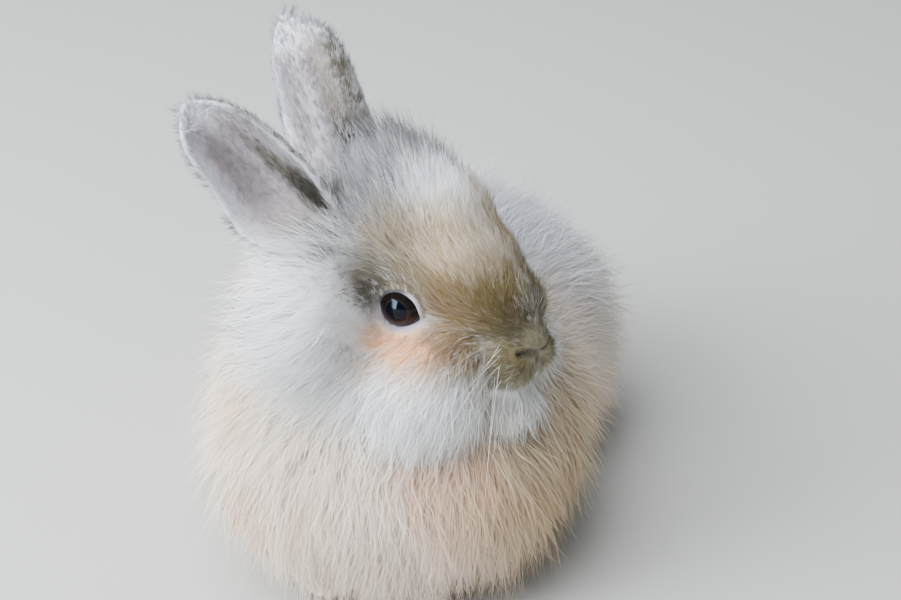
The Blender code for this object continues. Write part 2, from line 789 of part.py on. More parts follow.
def main():
    """Builds the rabbit and parts it into its nodes."""
    clear_scene()
    rabbit = collection("rabbit")
    tools = collection("tools", hidden=True)
    locks = collection("locks", hidden=True)
    flesh = Flesh(placed_forms())
    body = make_body(flesh, tools, locks)
    set_eyes_and_ears(body, rabbit, tools)
    carve_mouth(flesh, body, tools)
    part_limbs(body, rabbit, tools)
    part_plane(body, "tail", TAIL_CUT_AT, TAIL_CUT_WAY, rabbit, tools)
    neck = part_plane(body, "neck", NECK_CUT_AT, NECK_CUT_WAY, rabbit, tools)
    part_plane(neck, "head", head_point(HEAD_CUT_AT), head_way(HEAD_CUT_WAY), rabbit, tools)
    body.name = "torso"
    tools.objects.unlink(body)
    rabbit.objects.link(body)
    centre_on_floor(rabbit.objects)
    for node in rabbit.objects:
        colour_node(node)


main()
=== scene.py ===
"""The looks of a long-coated dwarf rabbit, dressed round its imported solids.

The animal faces -Y, its left side is +X and it rests at Z = 0. Sizes in the tables are in
millimetres, in the frame of the solids before they were centred over the origin. The head has a
frame of its own, where -Y runs to the nose, +X to the animal's left and +Z up.
"""

import logging
from dataclasses import dataclass, field, replace
from enum import Enum
from math import cos, pi, radians, sin

import bmesh
import bpy
import numpy as np
from mathutils import Euler, Matrix, Vector
from mathutils.bvhtree import BVHTree
from mathutils.interpolate import poly_3d_calc
from mathutils.kdtree import KDTree


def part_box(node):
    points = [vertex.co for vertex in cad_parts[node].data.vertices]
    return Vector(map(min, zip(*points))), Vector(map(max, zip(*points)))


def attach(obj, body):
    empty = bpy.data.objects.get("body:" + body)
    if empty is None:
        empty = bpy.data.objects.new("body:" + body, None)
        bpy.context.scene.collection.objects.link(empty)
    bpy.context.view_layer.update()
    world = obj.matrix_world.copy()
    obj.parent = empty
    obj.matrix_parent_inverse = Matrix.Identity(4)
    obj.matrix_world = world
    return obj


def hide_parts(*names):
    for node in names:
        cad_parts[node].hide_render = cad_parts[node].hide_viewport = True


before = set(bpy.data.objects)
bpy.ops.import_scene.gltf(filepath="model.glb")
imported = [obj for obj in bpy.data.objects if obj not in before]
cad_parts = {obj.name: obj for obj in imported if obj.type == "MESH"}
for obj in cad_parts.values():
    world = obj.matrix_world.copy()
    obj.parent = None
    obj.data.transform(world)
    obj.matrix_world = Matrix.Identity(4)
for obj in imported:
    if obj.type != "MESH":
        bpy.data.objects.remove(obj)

LOG = logging.getLogger("rabbit")
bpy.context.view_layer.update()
MM = 0.001
SIDES = {"left": 1, "right": -1}
BODY = "root"
Point = tuple[float, float, float]

HEAD_AT = (15.0, -49.0, 121.0)
HEAD_YAW = 66.0
EYE_RADIUS = 9.0
EYE_AT = (19.0, -1.4, 0.3)
EYE_AXIS = (0.94, -0.30, 0.14)
IRIS_AXIS = (0.98, -0.19, 0.04)
LID_AXIS = (0.9755, -0.211, -0.055)
MAP_NAME = "OFBake"
HAIR_BOX = (86.0, 128.5)
TINT = "tint"
PALEST = 0.92
TOE_SETBACK = 0.35
SHORT = 10


class Slot(Enum):
    """The material slots of the record."""

    COAT = "cream_coat"
    FACE = "face_coat"
    EAR = "ear_fur"
    EYE = "eye"


@dataclass(frozen=True)
class Form:
    """One egg shape of the animal, and the length, lift and lie of the hair on it."""

    name: str
    at: Point
    radii: Point
    turn: Point = (0.0, 0.0, 0.0)
    blend: float = 12.0
    fur: float = 0.0
    lift: float = 30.0
    lie: Point = (0.0, 1.0, -0.3)


def mirrored(form: Form) -> tuple[Form, Form]:
    """A form of the left side with its mirror image.

    Args:
        form: The form on the animal's left.

    Returns:
        The form itself and the one on the right.
    """
    x, y, z = form.at
    pitch, roll, yaw = form.turn
    lie_x, lie_y, lie_z = form.lie
    turn, lie = (pitch, -roll, -yaw), (-lie_x, lie_y, lie_z)
    return form, replace(form, name=form.name + "_r", at=(-x, y, z), turn=turn, lie=lie)


def toe_row(name: str, heel: Point, spread: float, length: float, radius: float) -> list[Form]:
    """Four toes side by side, the middle ones longer.

    Args:
        name: What the toes are called.
        heel: The middle of the row.
        spread: The width of the row.
        length: Half of a toe's length.
        radius: A toe's half width.

    Returns:
        The toes as forms.
    """
    x, y, z = heel
    ways = [(i / 3 - 0.5) * spread for i in range(4)]
    size = (radius, length, radius * 1.15)
    places = [(x + way, y + abs(way) * TOE_SETBACK, z) for way in ways]
    return [Form(f"{name}_{i}", place, size, blend=2.5, fur=5) for i, place in enumerate(places)]


BODY_FORMS = (
    Form("chest", (0, -34, 54), (64, 44, 50), blend=16, fur=26, lift=44, lie=(0, -0.3, -1)),
    Form("bib", (0, -62, 46), (56, 34, 41), blend=16, fur=26, lift=44, lie=(0, -0.25, -1)),
    Form("shoulders", (0, -12, 58), (64, 46, 46), blend=18, fur=26, lift=44, lie=(0, 0.9, -0.7)),
    Form("neck", (2, -36, 88), (46, 38, 32), blend=16, fur=28, lift=50, lie=(0, 0.9, -0.5)),
    Form("back", (0, 30, 52), (60, 58, 48), blend=20, fur=26, lift=42, lie=(0, 1, -0.45)),
    Form("rump", (0, 72, 50), (59, 44, 47), blend=20, fur=26, lift=42, lie=(0, 1, -0.7)),
    Form("belly", (0, 16, 34), (60, 80, 27), blend=16, fur=22, lie=(0, 0.5, -1)),
    Form("tail", (0, 117, 38), (12, 12, 17), turn=(-25, 0, 0), blend=8, fur=18, lie=(0, 0.6, 1)),
)
LEG_FORMS = tuple(
    half
    for form in (
        Form("thigh", (46, 56, 42), (26, 40, 39), blend=14, fur=27, lie=(0, 1, -0.8)),
        Form("hindfoot", (48, 34, 8), (11, 38, 9.5), blend=6, fur=6, lie=(0, -1, -0.2)),
        Form("foreleg", (20, -56, 24), (14, 16, 26), blend=8, fur=9, lie=(0, -0.2, -1)),
        Form("forepaw", (19, -75, 7), (9, 17, 8), blend=6, fur=6, lie=(0, -1, -0.3)),
        *toe_row("hindtoe", (48, -2, 6), 14, 9, 3.6),
        *toe_row("foretoe", (19, -88, 5), 12, 6, 3.1),
    )
    for half in mirrored(form)
)
HEAD_FORMS = (
    Form("skull", (0, 12, 2), (22, 27, 23), blend=10, fur=9, lie=(0, 1, 0.1)),
    Form("forehead", (0, -13, 9), (22.5, 25, 22), blend=10, fur=7.5, lift=26, lie=(0, 0.8, 0.9)),
    Form("bridge", (0, -27, -1.5), (15, 21, 16.5), blend=9, fur=4.2, lift=20, lie=(0, 0.8, 0.7)),
    Form("cap", (0, 12, 24), (23, 23, 21), blend=10, fur=14, lift=56, lie=(0.3, 0.6, 1.0)),
    Form("forelock", (2, -6, 26), (18, 17, 13), blend=8, fur=9.5, lift=50, lie=(0.3, 0.3, 1)),
    Form("nose", (0, -46, -10.5), (6, 5.5, 6.5), blend=5, fur=3.0, lift=24, lie=(0, 1, 0.3)),
    Form("chin", (0, -29, -36), (12, 15, 12), blend=5, fur=19, lift=24, lie=(0, 0.3, -1)),
    Form("throat", (0, 8, -24), (24, 28, 22), blend=14, fur=24, lie=(0, 0.5, -1)),
    Form("nape", (0, 30, 0), (28, 24, 25), blend=14, fur=29, lift=66, lie=(0, 1, 0.1)),
    *mirrored(Form("lip", (6.5, -38, -19), (10, 12, 11.5), blend=4, fur=4.6, lift=26, lie=(0.4, 0.7, -0.7))),
    *mirrored(Form("brow", (13, -1.5, 3.5), (9.5, 13, 11), blend=4, fur=5.5, lift=24, lie=(0.2, 0.8, 0.8))),
    *mirrored(Form("cheek", (19, -13, -21), (18, 22, 17), blend=8, fur=16, lift=34, lie=(0.5, 0.4, -1))),
    *mirrored(Form("jowl", (20, -4, -33), (20, 25, 18), blend=12, fur=26, lift=30, lie=(0.25, 0.3, -1))),
    *mirrored(Form("ruff", (33, 24, -8), (20, 19, 27), blend=12, fur=34, lift=72, lie=(0.7, 0.9, 0.1))),
)


def frame_matrix(at: Point, turn: Point) -> Matrix:
    """The matrix of a frame at a point, turned by pitch, roll and yaw in degrees."""
    return Matrix.Translation(at) @ Euler([radians(a) for a in turn]).to_matrix().to_4x4()


def eye_shift() -> Vector:
    """How far the packing moved the animal, read off the right eye's node.

    Returns:
        The move, in millimetres.
    """
    low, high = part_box("eye_right")
    x, y, z = EYE_AT
    return (low + high) / 2 / MM - frame_matrix(HEAD_AT, (0, 0, HEAD_YAW)) @ Vector((-x, y, z))


SHIFT = Matrix.Translation(eye_shift())
HEAD = SHIFT @ frame_matrix(HEAD_AT, (0, 0, HEAD_YAW))


def unit(vectors: np.ndarray) -> np.ndarray:
    """Vectors along the last axis, made one long."""
    return vectors / np.maximum(np.linalg.norm(vectors, axis=-1, keepdims=True), 1e-9)


def to_head(points: np.ndarray) -> np.ndarray:
    """Points of the animal in the head's own frame."""
    inverse = np.array(HEAD.inverted())
    return points @ inverse[:3, :3].T + inverse[:3, 3]


def head_point(point: Point, side: int = 1) -> Vector:
    """A point of the head's frame, mirrored to a side, in the animal's frame."""
    return HEAD @ Vector((point[0] * side, point[1], point[2]))


def head_way(way: Point, side: int = 1) -> Vector:
    """A direction of the head's frame, mirrored to a side, in the animal's frame."""
    return (HEAD.to_3x3() @ Vector((way[0] * side, way[1], way[2]))).normalized()


def smooth(values: np.ndarray, low: float, high: float) -> np.ndarray:
    """A soft step from 0 at low to 1 at high."""
    share = np.clip((values - low) / (high - low), 0, 1)
    return share * share * (3 - 2 * share)


def ripple(points: np.ndarray, size: float, seed: int) -> np.ndarray:
    """A smooth field between about -1 and 1, the same for the same seed.

    Args:
        points: Where it is read, in millimetres.
        size: The rough width of its waves.
        seed: Which field it is.

    Returns:
        One value for each point.
    """
    rng = np.random.default_rng(seed)
    total = np.zeros(len(points))
    for _ in range(6):
        way = unit(rng.normal(size=3)) * 2 * pi / (size * rng.uniform(0.7, 1.9))
        total += np.sin(points @ way + rng.uniform(0, 2 * pi))
    return total / 3


class Flesh:
    """The blended surface of all forms, and the hair that grows on it."""

    HAIR_BLEND = 3.5
    PROBE = 0.2

    def __init__(self, placed: list[tuple[Form, Matrix, Matrix]]) -> None:
        """Keeps the forms with their frames.

        Args:
            placed: Each form, the matrix of its own axes, and that of the frame which carries it.
        """
        self.placed = placed
        self.inverses = [np.array(matrix.inverted()) for _, matrix, _ in placed]
        ways = [carrier.to_3x3() @ Vector(form.lie).normalized() for form, _, carrier in placed]
        self.lies = np.array(ways)
        self.lengths = np.array([form.fur for form, _, _ in placed])
        self.lifts = np.array([form.lift for form, _, _ in placed])

    @classmethod
    def of_rabbit(cls) -> "Flesh":
        """The whole animal's forms, body first, in the order in which they blend.

        Returns:
            The flesh.
        """
        placed = [(form, SHIFT @ frame_matrix(form.at, form.turn), SHIFT) for form in BODY_FORMS + LEG_FORMS]
        placed += [(form, HEAD @ frame_matrix(form.at, form.turn), HEAD) for form in HEAD_FORMS]
        return cls(placed)

    def distances(self, points: np.ndarray) -> np.ndarray:
        """The distance from each point to each form.

        Args:
            points: Rows of X, Y and Z.

        Returns:
            One row for each form.
        """
        rows = []
        for (form, _, _), inverse in zip(self.placed, self.inverses):
            local = points @ inverse[:3, :3].T + inverse[:3, 3]
            radii = np.array(form.radii)
            near = np.linalg.norm(local / radii, axis=1)
            slope = np.linalg.norm(local / radii**2, axis=1)
            rows.append(near * (near - 1) / np.maximum(slope, 1e-9))
        return np.array(rows)

    def outside(self, points: np.ndarray) -> np.ndarray:
        """How far each point lies outside the blended surface.

        Args:
            points: Rows of X, Y and Z.

        Returns:
            One distance for each point, less than zero inside.
        """
        rows = self.distances(points)
        total = rows[0]
        for (form, _, _), row in zip(self.placed[1:], rows[1:]):
            reach = np.maximum(form.blend - np.abs(total - row), 0) / form.blend
            total = np.minimum(total, row) - reach**2 * form.blend / 4
        return total

    def slopes(self, points: np.ndarray) -> np.ndarray:
        """The slope of the distance at each point, which points outwards.

        Args:
            points: Rows of X, Y and Z.

        Returns:
            One vector for each point.
        """
        steps = np.eye(3) * self.PROBE
        ahead = [self.outside(points + step) for step in steps]
        behind = [self.outside(points - step) for step in steps]
        return (np.array(ahead) - np.array(behind)).T / (2 * self.PROBE)

    def settle(self, points: np.ndarray, level: float | np.ndarray = 0.0, rounds: int = 6) -> np.ndarray:
        """Moves points to where the surface, grown by a level, passes them.

        Args:
            points: Rows of X, Y and Z.
            level: How far outside the surface they end, one number or one for each.
            rounds: How many steps are taken.

        Returns:
            The moved points.
        """
        for _ in range(rounds):
            slope = self.slopes(points)
            steep = np.maximum((slope**2).sum(axis=1), 0.05)
            step = (self.outside(points) - level) / steep
            points = points - slope * np.clip(step, -6, 6)[:, None]
        return points

    def hair(self, points: np.ndarray) -> tuple[np.ndarray, np.ndarray, np.ndarray, np.ndarray]:
        """The hair that grows at each point.

        Args:
            points: Rows of X, Y and Z.

        Returns:
            Its length, lift and lie, and whether it grows on the head.
        """
        rows = self.distances(points)
        weights = np.exp(-(rows - rows.min(axis=0)) / self.HAIR_BLEND)
        weights /= weights.sum(axis=0)
        on_head = weights[-len(HEAD_FORMS) :].sum(axis=0)
        return weights.T @ self.lengths, weights.T @ self.lifts, weights.T @ self.lies, on_head


@dataclass(frozen=True)
class Patch:
    """One soft patch of colour: an egg in the head's frame or the body's, with grizzled hair at will."""

    at: Point
    radii: Point
    colour: Point
    on_head: bool = True
    soft: float = 0.5
    strength: float = 1.0
    grizzle: float = 0.25
    mirrored: bool = True


WHITE = (0.87, 0.87, 0.875)
CREAM = (0.81, 0.735, 0.655)
PEACH = (0.76, 0.55, 0.42)
MAUVE = (0.085, 0.064, 0.066)
# Near black along the bottoms of nostrils, cleft and mouth: painted shadow in the grooves.
GROOVE_SHADOW = (0.012, 0.009, 0.010)
BARE_LID = (0.50, 0.45, 0.52)
# Painted shadow on the lids, strongest at the upper back of the eye.
LID_SHADOW = (0.05, 0.045, 0.045)
PUPIL = (0.0, 0.001, 0.005)
IRIS_TOP = (0.007, 0.0045, 0.004)
IRIS_LOW = (0.026, 0.010, 0.008)
EYE_RIM = (0.006, 0.004, 0.004)
HEAD_PATCHES = (
    Patch((14, 30, 32), (30, 32, 24), (0.15, 0.155, 0.165), grizzle=0.5),
    Patch((12, 16, 38), (17, 17, 19), (0.10, 0.105, 0.115), grizzle=0.55),
    # The two pale patches at the crown's front: white fur with a blue cast of painted sky light.
    Patch((7, -8, 42), (14, 11, 12), (0.84, 0.88, 0.93), grizzle=0.2),
    Patch((13, -19, 34), (8, 8, 9), (0.84, 0.87, 0.91), grizzle=0.2, mirrored=False),
    # Near black at each ear's root: painted shade.
    Patch((20, 31, 30), (9, 9, 10), (0.06, 0.05, 0.03), grizzle=0.3),
    Patch((9, -13, 23), (18, 16, 12), (0.54, 0.43, 0.28), grizzle=0.45),
    Patch((20, 0, 24), (8, 11, 9), (0.36, 0.30, 0.22), grizzle=0.4),
    Patch((7, -27, 9), (15, 18, 16), (0.34, 0.25, 0.14), grizzle=0.3),
    Patch((8, -34, 4), (12, 14, 11), (0.155, 0.122, 0.06), grizzle=0.15),
    Patch((21.5, -17, 8), (9, 13, 10), (0.20, 0.13, 0.06), grizzle=0.25),
    Patch((25, -8, 13), (8, 9, 6), (0.25, 0.205, 0.145), grizzle=0.25),
    Patch((20, -28, -7), (9, 12, 10), (0.25, 0.175, 0.095), grizzle=0.25),
    Patch((27, -18, -8), (9, 11, 9), (0.25, 0.16, 0.095), grizzle=0.3),
    Patch((27.5, 6, 12), (9, 12, 8), (0.175, 0.155, 0.11), grizzle=0.25),
    Patch((26, -3, 10.5), (11, 11, 7), (0.19, 0.16, 0.11), grizzle=0.15),
    Patch((30, 7, 6), (6, 6, 8), (0.095, 0.088, 0.075), strength=0.8, grizzle=0.2),
    Patch((32, -7, -9.5), (10, 14, 6), (0.84, 0.52, 0.33), grizzle=0.2),
    Patch((10, -43, -17), (12, 12, 8), (0.22, 0.185, 0.125), grizzle=0.3),
    Patch((12, -39, -8), (7, 7, 7), (0.135, 0.11, 0.055), grizzle=0.2),
    Patch((8, -42, 1), (8, 8, 8), (0.07, 0.055, 0.03), strength=0.95, grizzle=0.1),
    Patch((3, -50, -8), (10, 8, 8), (0.20, 0.18, 0.125), grizzle=0.25),
    Patch((8, -46, -9), (8, 7, 7), (0.135, 0.115, 0.075), strength=0.9, grizzle=0.15),
    Patch((8, -43, -4), (5, 8, 12), (0.28, 0.26, 0.16), grizzle=0.25, mirrored=False),
    Patch((7, -48, -21), (10, 9, 8), (0.27, 0.245, 0.17), grizzle=0.35),
    Patch((12, -45, -15), (5, 5, 5), (0.065, 0.052, 0.022), strength=0.9, grizzle=0.1),
    Patch((15, -38, -26), (4, 5, 12), (0.18, 0.15, 0.07), strength=0.9, grizzle=0.3),
    Patch((12, -34, -50), (14, 14, 14), (0.76, 0.68, 0.56), grizzle=0.3),
)
BODY_PATCHES = (
    # The rump patch: the coat's pale grey, with a blue cast of painted sky light on the back.
    Patch((0, 62, 92), (80, 80, 42), (0.65, 0.69, 0.75), on_head=False, grizzle=0.4),
    Patch((58, -50, 40), (34, 50, 44), (0.62, 0.50, 0.34), on_head=False, grizzle=0.4),
    # The low chest darker towards the floor: painted shade.
    Patch((0, -88, 28), (60, 26, 26), (0.72, 0.62, 0.54), on_head=False, grizzle=0.4),
)


class MarkingsAndPaintedLight:
    """The colours of the animal, the same for its skin and its coat: its markings, with some patches of painted
    shade and painted sky light.
    """

    WANDER = 2.6
    VIVID = 1.3
    PLAIN_FLECK = 0.4

    def patches(
        self, points: np.ndarray, tint: np.ndarray, found: tuple[Patch, ...], fleck: np.ndarray
    ) -> np.ndarray:
        """Lays patches over a colour, one after another.

        Args:
            points: Rows of X, Y and Z in the patches' own frame.
            tint: The colour at each point so far.
            found: The patches.
            fleck: How grizzled each point is, from 0 to 1.

        Returns:
            The colour at each point.
        """
        left = np.abs(points) * (1, 0, 0) + points * (0, 1, 1)
        for patch in found:
            place = left if patch.mirrored and patch.on_head else points
            away = np.linalg.norm((place - np.array(patch.at)) / np.array(patch.radii), axis=1)
            weight = 1 - smooth(away, 1 - patch.soft, 1 + patch.soft)
            weight = (weight * patch.strength * (1 - patch.grizzle * fleck))[:, None]
            tint = tint * (1 - weight) + np.array(patch.colour) * weight
        return tint

    def at(
        self, points: np.ndarray, on_head: np.ndarray, rng: np.random.Generator | None = None
    ) -> np.ndarray:
        """The colour of the hair at points of the animal.

        Args:
            points: Rows of X, Y and Z in millimetres.
            on_head: How much each point belongs to the head.
            rng: Where given, edges are frayed and hairs are grizzled by it.

        Returns:
            Rows of red, green and blue.
        """
        count = len(points)
        fleck = rng.random(count) if rng else np.full(count, self.PLAIN_FLECK)
        moved = points + (rng.normal(size=(count, 3)) * self.WANDER if rng else 0)
        warm = smooth(ripple(moved, 46, 5), -0.1, 0.9)[:, None] * 0.75
        body = np.array(CREAM) * (1 - warm) + np.array(PEACH) * warm
        home = np.array(SHIFT.inverted().translation)
        body = self.patches(moved + home, body, BODY_PATCHES, fleck)
        head = np.tile(np.array(WHITE), (count, 1))
        head = self.patches(to_head(moved), head, HEAD_PATCHES, fleck)
        share = smooth(on_head, 0.3, 0.8)[:, None]
        tint = body * (1 - share) + head * share
        grey = tint.mean(axis=1, keepdims=True)
        return grey + (tint - grey) * self.VIVID


@dataclass(frozen=True)
class Finish:
    """A procedural material made of one Principled shader."""

    name: str
    colour: Point = (0.8, 0.8, 0.8)
    roughness: float = 0.8
    specular: float = 0.3
    sheen: float = 0.0
    coat: float = 0.0
    coat_ior: float = 1.5
    attribute: str = ""
    mottle: float = 0.0
    mottle_scale: float = 300.0

    def build(self) -> bpy.types.Material:
        """Makes the material, or finds it if it was made before.

        Returns:
            The material.
        """
        made = bpy.data.materials.get(self.name)
        if made:
            return made
        made = bpy.data.materials.new(self.name)
        made.use_nodes = True
        shader = made.node_tree.nodes["Principled BSDF"]
        shader.inputs["Base Color"].default_value = (*self.colour, 1)
        shader.inputs["Roughness"].default_value = self.roughness
        shader.inputs["Specular IOR Level"].default_value = self.specular
        shader.inputs["Sheen Weight"].default_value = self.sheen
        shader.inputs["Sheen Roughness"].default_value = 0.5
        shader.inputs["Coat Weight"].default_value = self.coat
        shader.inputs["Coat Roughness"].default_value = 0.02
        shader.inputs["Coat IOR"].default_value = self.coat_ior
        made.diffuse_color = (*self.colour, 1)
        self.paint(made.node_tree, shader)
        return made

    def paint(self, tree: bpy.types.NodeTree, shader: bpy.types.Node) -> None:
        """Links the colour to a mesh attribute or a noise, where the finish has one.

        Args:
            tree: The material's nodes.
            shader: Its Principled shader.
        """
        source = None
        if self.attribute:
            reader = tree.nodes.new("ShaderNodeAttribute")
            reader.attribute_name = self.attribute
            source = reader.outputs["Color"]
        if self.mottle:
            place = tree.nodes.new("ShaderNodeTexCoord")
            noise = tree.nodes.new("ShaderNodeTexNoise")
            noise.inputs["Scale"].default_value = self.mottle_scale
            noise.inputs["Detail"].default_value = 3.0
            tree.links.new(place.outputs["Object"], noise.inputs["Vector"])
            span = tree.nodes.new("ShaderNodeMapRange")
            span.inputs["To Min"].default_value = 1 - self.mottle
            span.inputs["To Max"].default_value = 1 + self.mottle
            tree.links.new(noise.outputs["Fac"], span.inputs["Value"])
            mix = tree.nodes.new("ShaderNodeMix")
            mix.data_type = "RGBA"
            mix.blend_type = "MULTIPLY"
            mix.inputs["Factor"].default_value = 1.0
            mix.inputs[6].default_value = (*self.colour, 1)
            if source:
                tree.links.new(source, mix.inputs[6])
            tree.links.new(span.outputs["Result"], mix.inputs[7])
            source = mix.outputs[2]
        if source:
            tree.links.new(source, shader.inputs["Base Color"])


SKIN_FINISH = Finish("rabbit_skin", CREAM, 0.7, 0.3, attribute=TINT, mottle=0.08)
COAT_FINISH = Finish("rabbit_coat", CREAM, 0.8, 0.05, sheen=0.1, attribute=TINT)
EYE_FINISH = Finish("rabbit_eye", (0.03, 0.014, 0.01), 0.4, 0.0, coat=1.0, coat_ior=1.28, attribute=TINT)
CLAW_FINISH = Finish("claw_horn", (0.42, 0.34, 0.27), 0.35, 0.5, mottle=0.15)
WHISKER_FINISH = Finish("whisker", (0.86, 0.85, 0.82), 0.4, 0.5)
FLOOR_FINISH = Finish("pale_floor", (0.52, 0.52, 0.50), 0.85, 0.2)


def link(name: str, mesh: bpy.types.Mesh) -> bpy.types.Object:
    """Puts a mesh into the scene as an object.

    Args:
        name: The object's name.
        mesh: Its mesh.

    Returns:
        The object.
    """
    obj = bpy.data.objects.new(name, mesh)
    bpy.context.scene.collection.objects.link(obj)
    return obj


def from_bmesh(name: str, bm: bmesh.types.BMesh) -> bpy.types.Object:
    """An object made of a bmesh in millimetres.

    Args:
        name: The object's name.
        bm: The bmesh, which is used up.

    Returns:
        The object, in metres.
    """
    bmesh.ops.scale(bm, vec=(MM, MM, MM), verts=bm.verts)
    mesh = bpy.data.meshes.new(name)
    bm.to_mesh(mesh)
    bm.free()
    return link(name, mesh)


def points_of(mesh: bpy.types.Mesh) -> np.ndarray:
    """The vertices of a mesh.

    Args:
        mesh: The mesh, in metres.

    Returns:
        Rows of X, Y and Z in millimetres.
    """
    flat = np.empty(len(mesh.vertices) * 3, np.float32)
    mesh.vertices.foreach_get("co", flat)
    return flat.reshape(-1, 3).astype(float) / MM


def put_points(mesh: bpy.types.Mesh, points: np.ndarray) -> None:
    """Moves the vertices of a mesh to points in millimetres."""
    mesh.vertices.foreach_set("co", (points * MM).astype(np.float32).ravel())
    mesh.update()


def bake(obj: bpy.types.Object) -> None:
    """Applies an object's modifiers to its mesh.

    Args:
        obj: The object.
    """
    graph = bpy.context.evaluated_depsgraph_get()
    baked = bpy.data.meshes.new_from_object(obj.evaluated_get(graph))
    obj.modifiers.clear()
    obj.data = baked


def combine(obj: bpy.types.Object, other: bpy.types.Object, operation: str) -> None:
    """Applies one Boolean and removes its tool.

    Args:
        obj: What is changed.
        other: The closed tool.
        operation: The kind of Boolean.
    """
    boolean = obj.modifiers.new("join", "BOOLEAN")
    boolean.operation = operation
    boolean.object = other
    boolean.solver = "MANIFOLD"
    bake(obj)
    bpy.data.objects.remove(other)


def put_tint(mesh: bpy.types.Mesh, colours: np.ndarray) -> None:
    """Writes one colour for each vertex as the piece's tint.

    Args:
        mesh: The mesh.
        colours: Rows of red, green and blue.
    """
    layer = mesh.color_attributes.new(TINT, "FLOAT_COLOR", "POINT")
    rgba = np.ones((len(colours), 4), np.float32)
    rgba[:, :3] = np.clip(colours, 0.0, PALEST)
    layer.data.foreach_set("color", rgba.ravel())


@dataclass(frozen=True)
class Streak:
    """One soft streak of colour on an ear, placed across it, towards its folded side, and along it; some streaks
    are painted shade.
    """

    inner: float
    share: float
    wide: float
    long: float
    colour: Point
    strength: float = 1.0

    def weight(self, inner: np.ndarray, share: np.ndarray) -> np.ndarray:
        """How much of the streak each place takes, from 0 to its strength."""
        away = np.hypot((inner - self.inner) / self.wide, (share - self.share) / self.long)
        return (1 - smooth(away, 0.5, 1.5)) * self.strength


EAR_DARK = (0.15, 0.135, 0.13)
EAR_BACK = (0.25, 0.24, 0.255)
EAR_CUP = (0.47, 0.41, 0.45)
EAR_RIM = (0.86, 0.86, 0.92)
EAR_BACK_RIM = (0.36, 0.37, 0.43)
CUP_STREAKS_AND_SHADOWS = (
    # Painted shade: a mauve shadow in the cup.
    Streak(-0.3, 0.62, 0.30, 0.24, (0.19, 0.165, 0.175), 0.6),
    Streak(0.85, 0.5, 0.30, 0.45, (0.31, 0.31, 0.31), 0.8),
    Streak(0.33, 0.45, 0.19, 0.30, (0.09, 0.08, 0.05), 0.85),
    # Painted shade: the near-black canal at the cup's root.
    Streak(0.46, 0.25, 0.42, 0.21, (0.025, 0.021, 0.012), 0.97),
    Streak(-0.4, 0.2, 0.5, 0.16, (0.52, 0.46, 0.44), 0.8),
)
BACK_STREAKS = (
    Streak(0.80, 0.50, 0.30, 0.44, (0.10, 0.088, 0.05), 0.9),
    Streak(0.40, 0.62, 0.17, 0.34, (0.44, 0.375, 0.32), 0.65),
    Streak(-0.85, 0.6, 0.35, 0.6, (0.50, 0.50, 0.59), 0.7),
    Streak(0.2, 0.25, 0.8, 0.16, (0.38, 0.38, 0.405), 0.7),
)


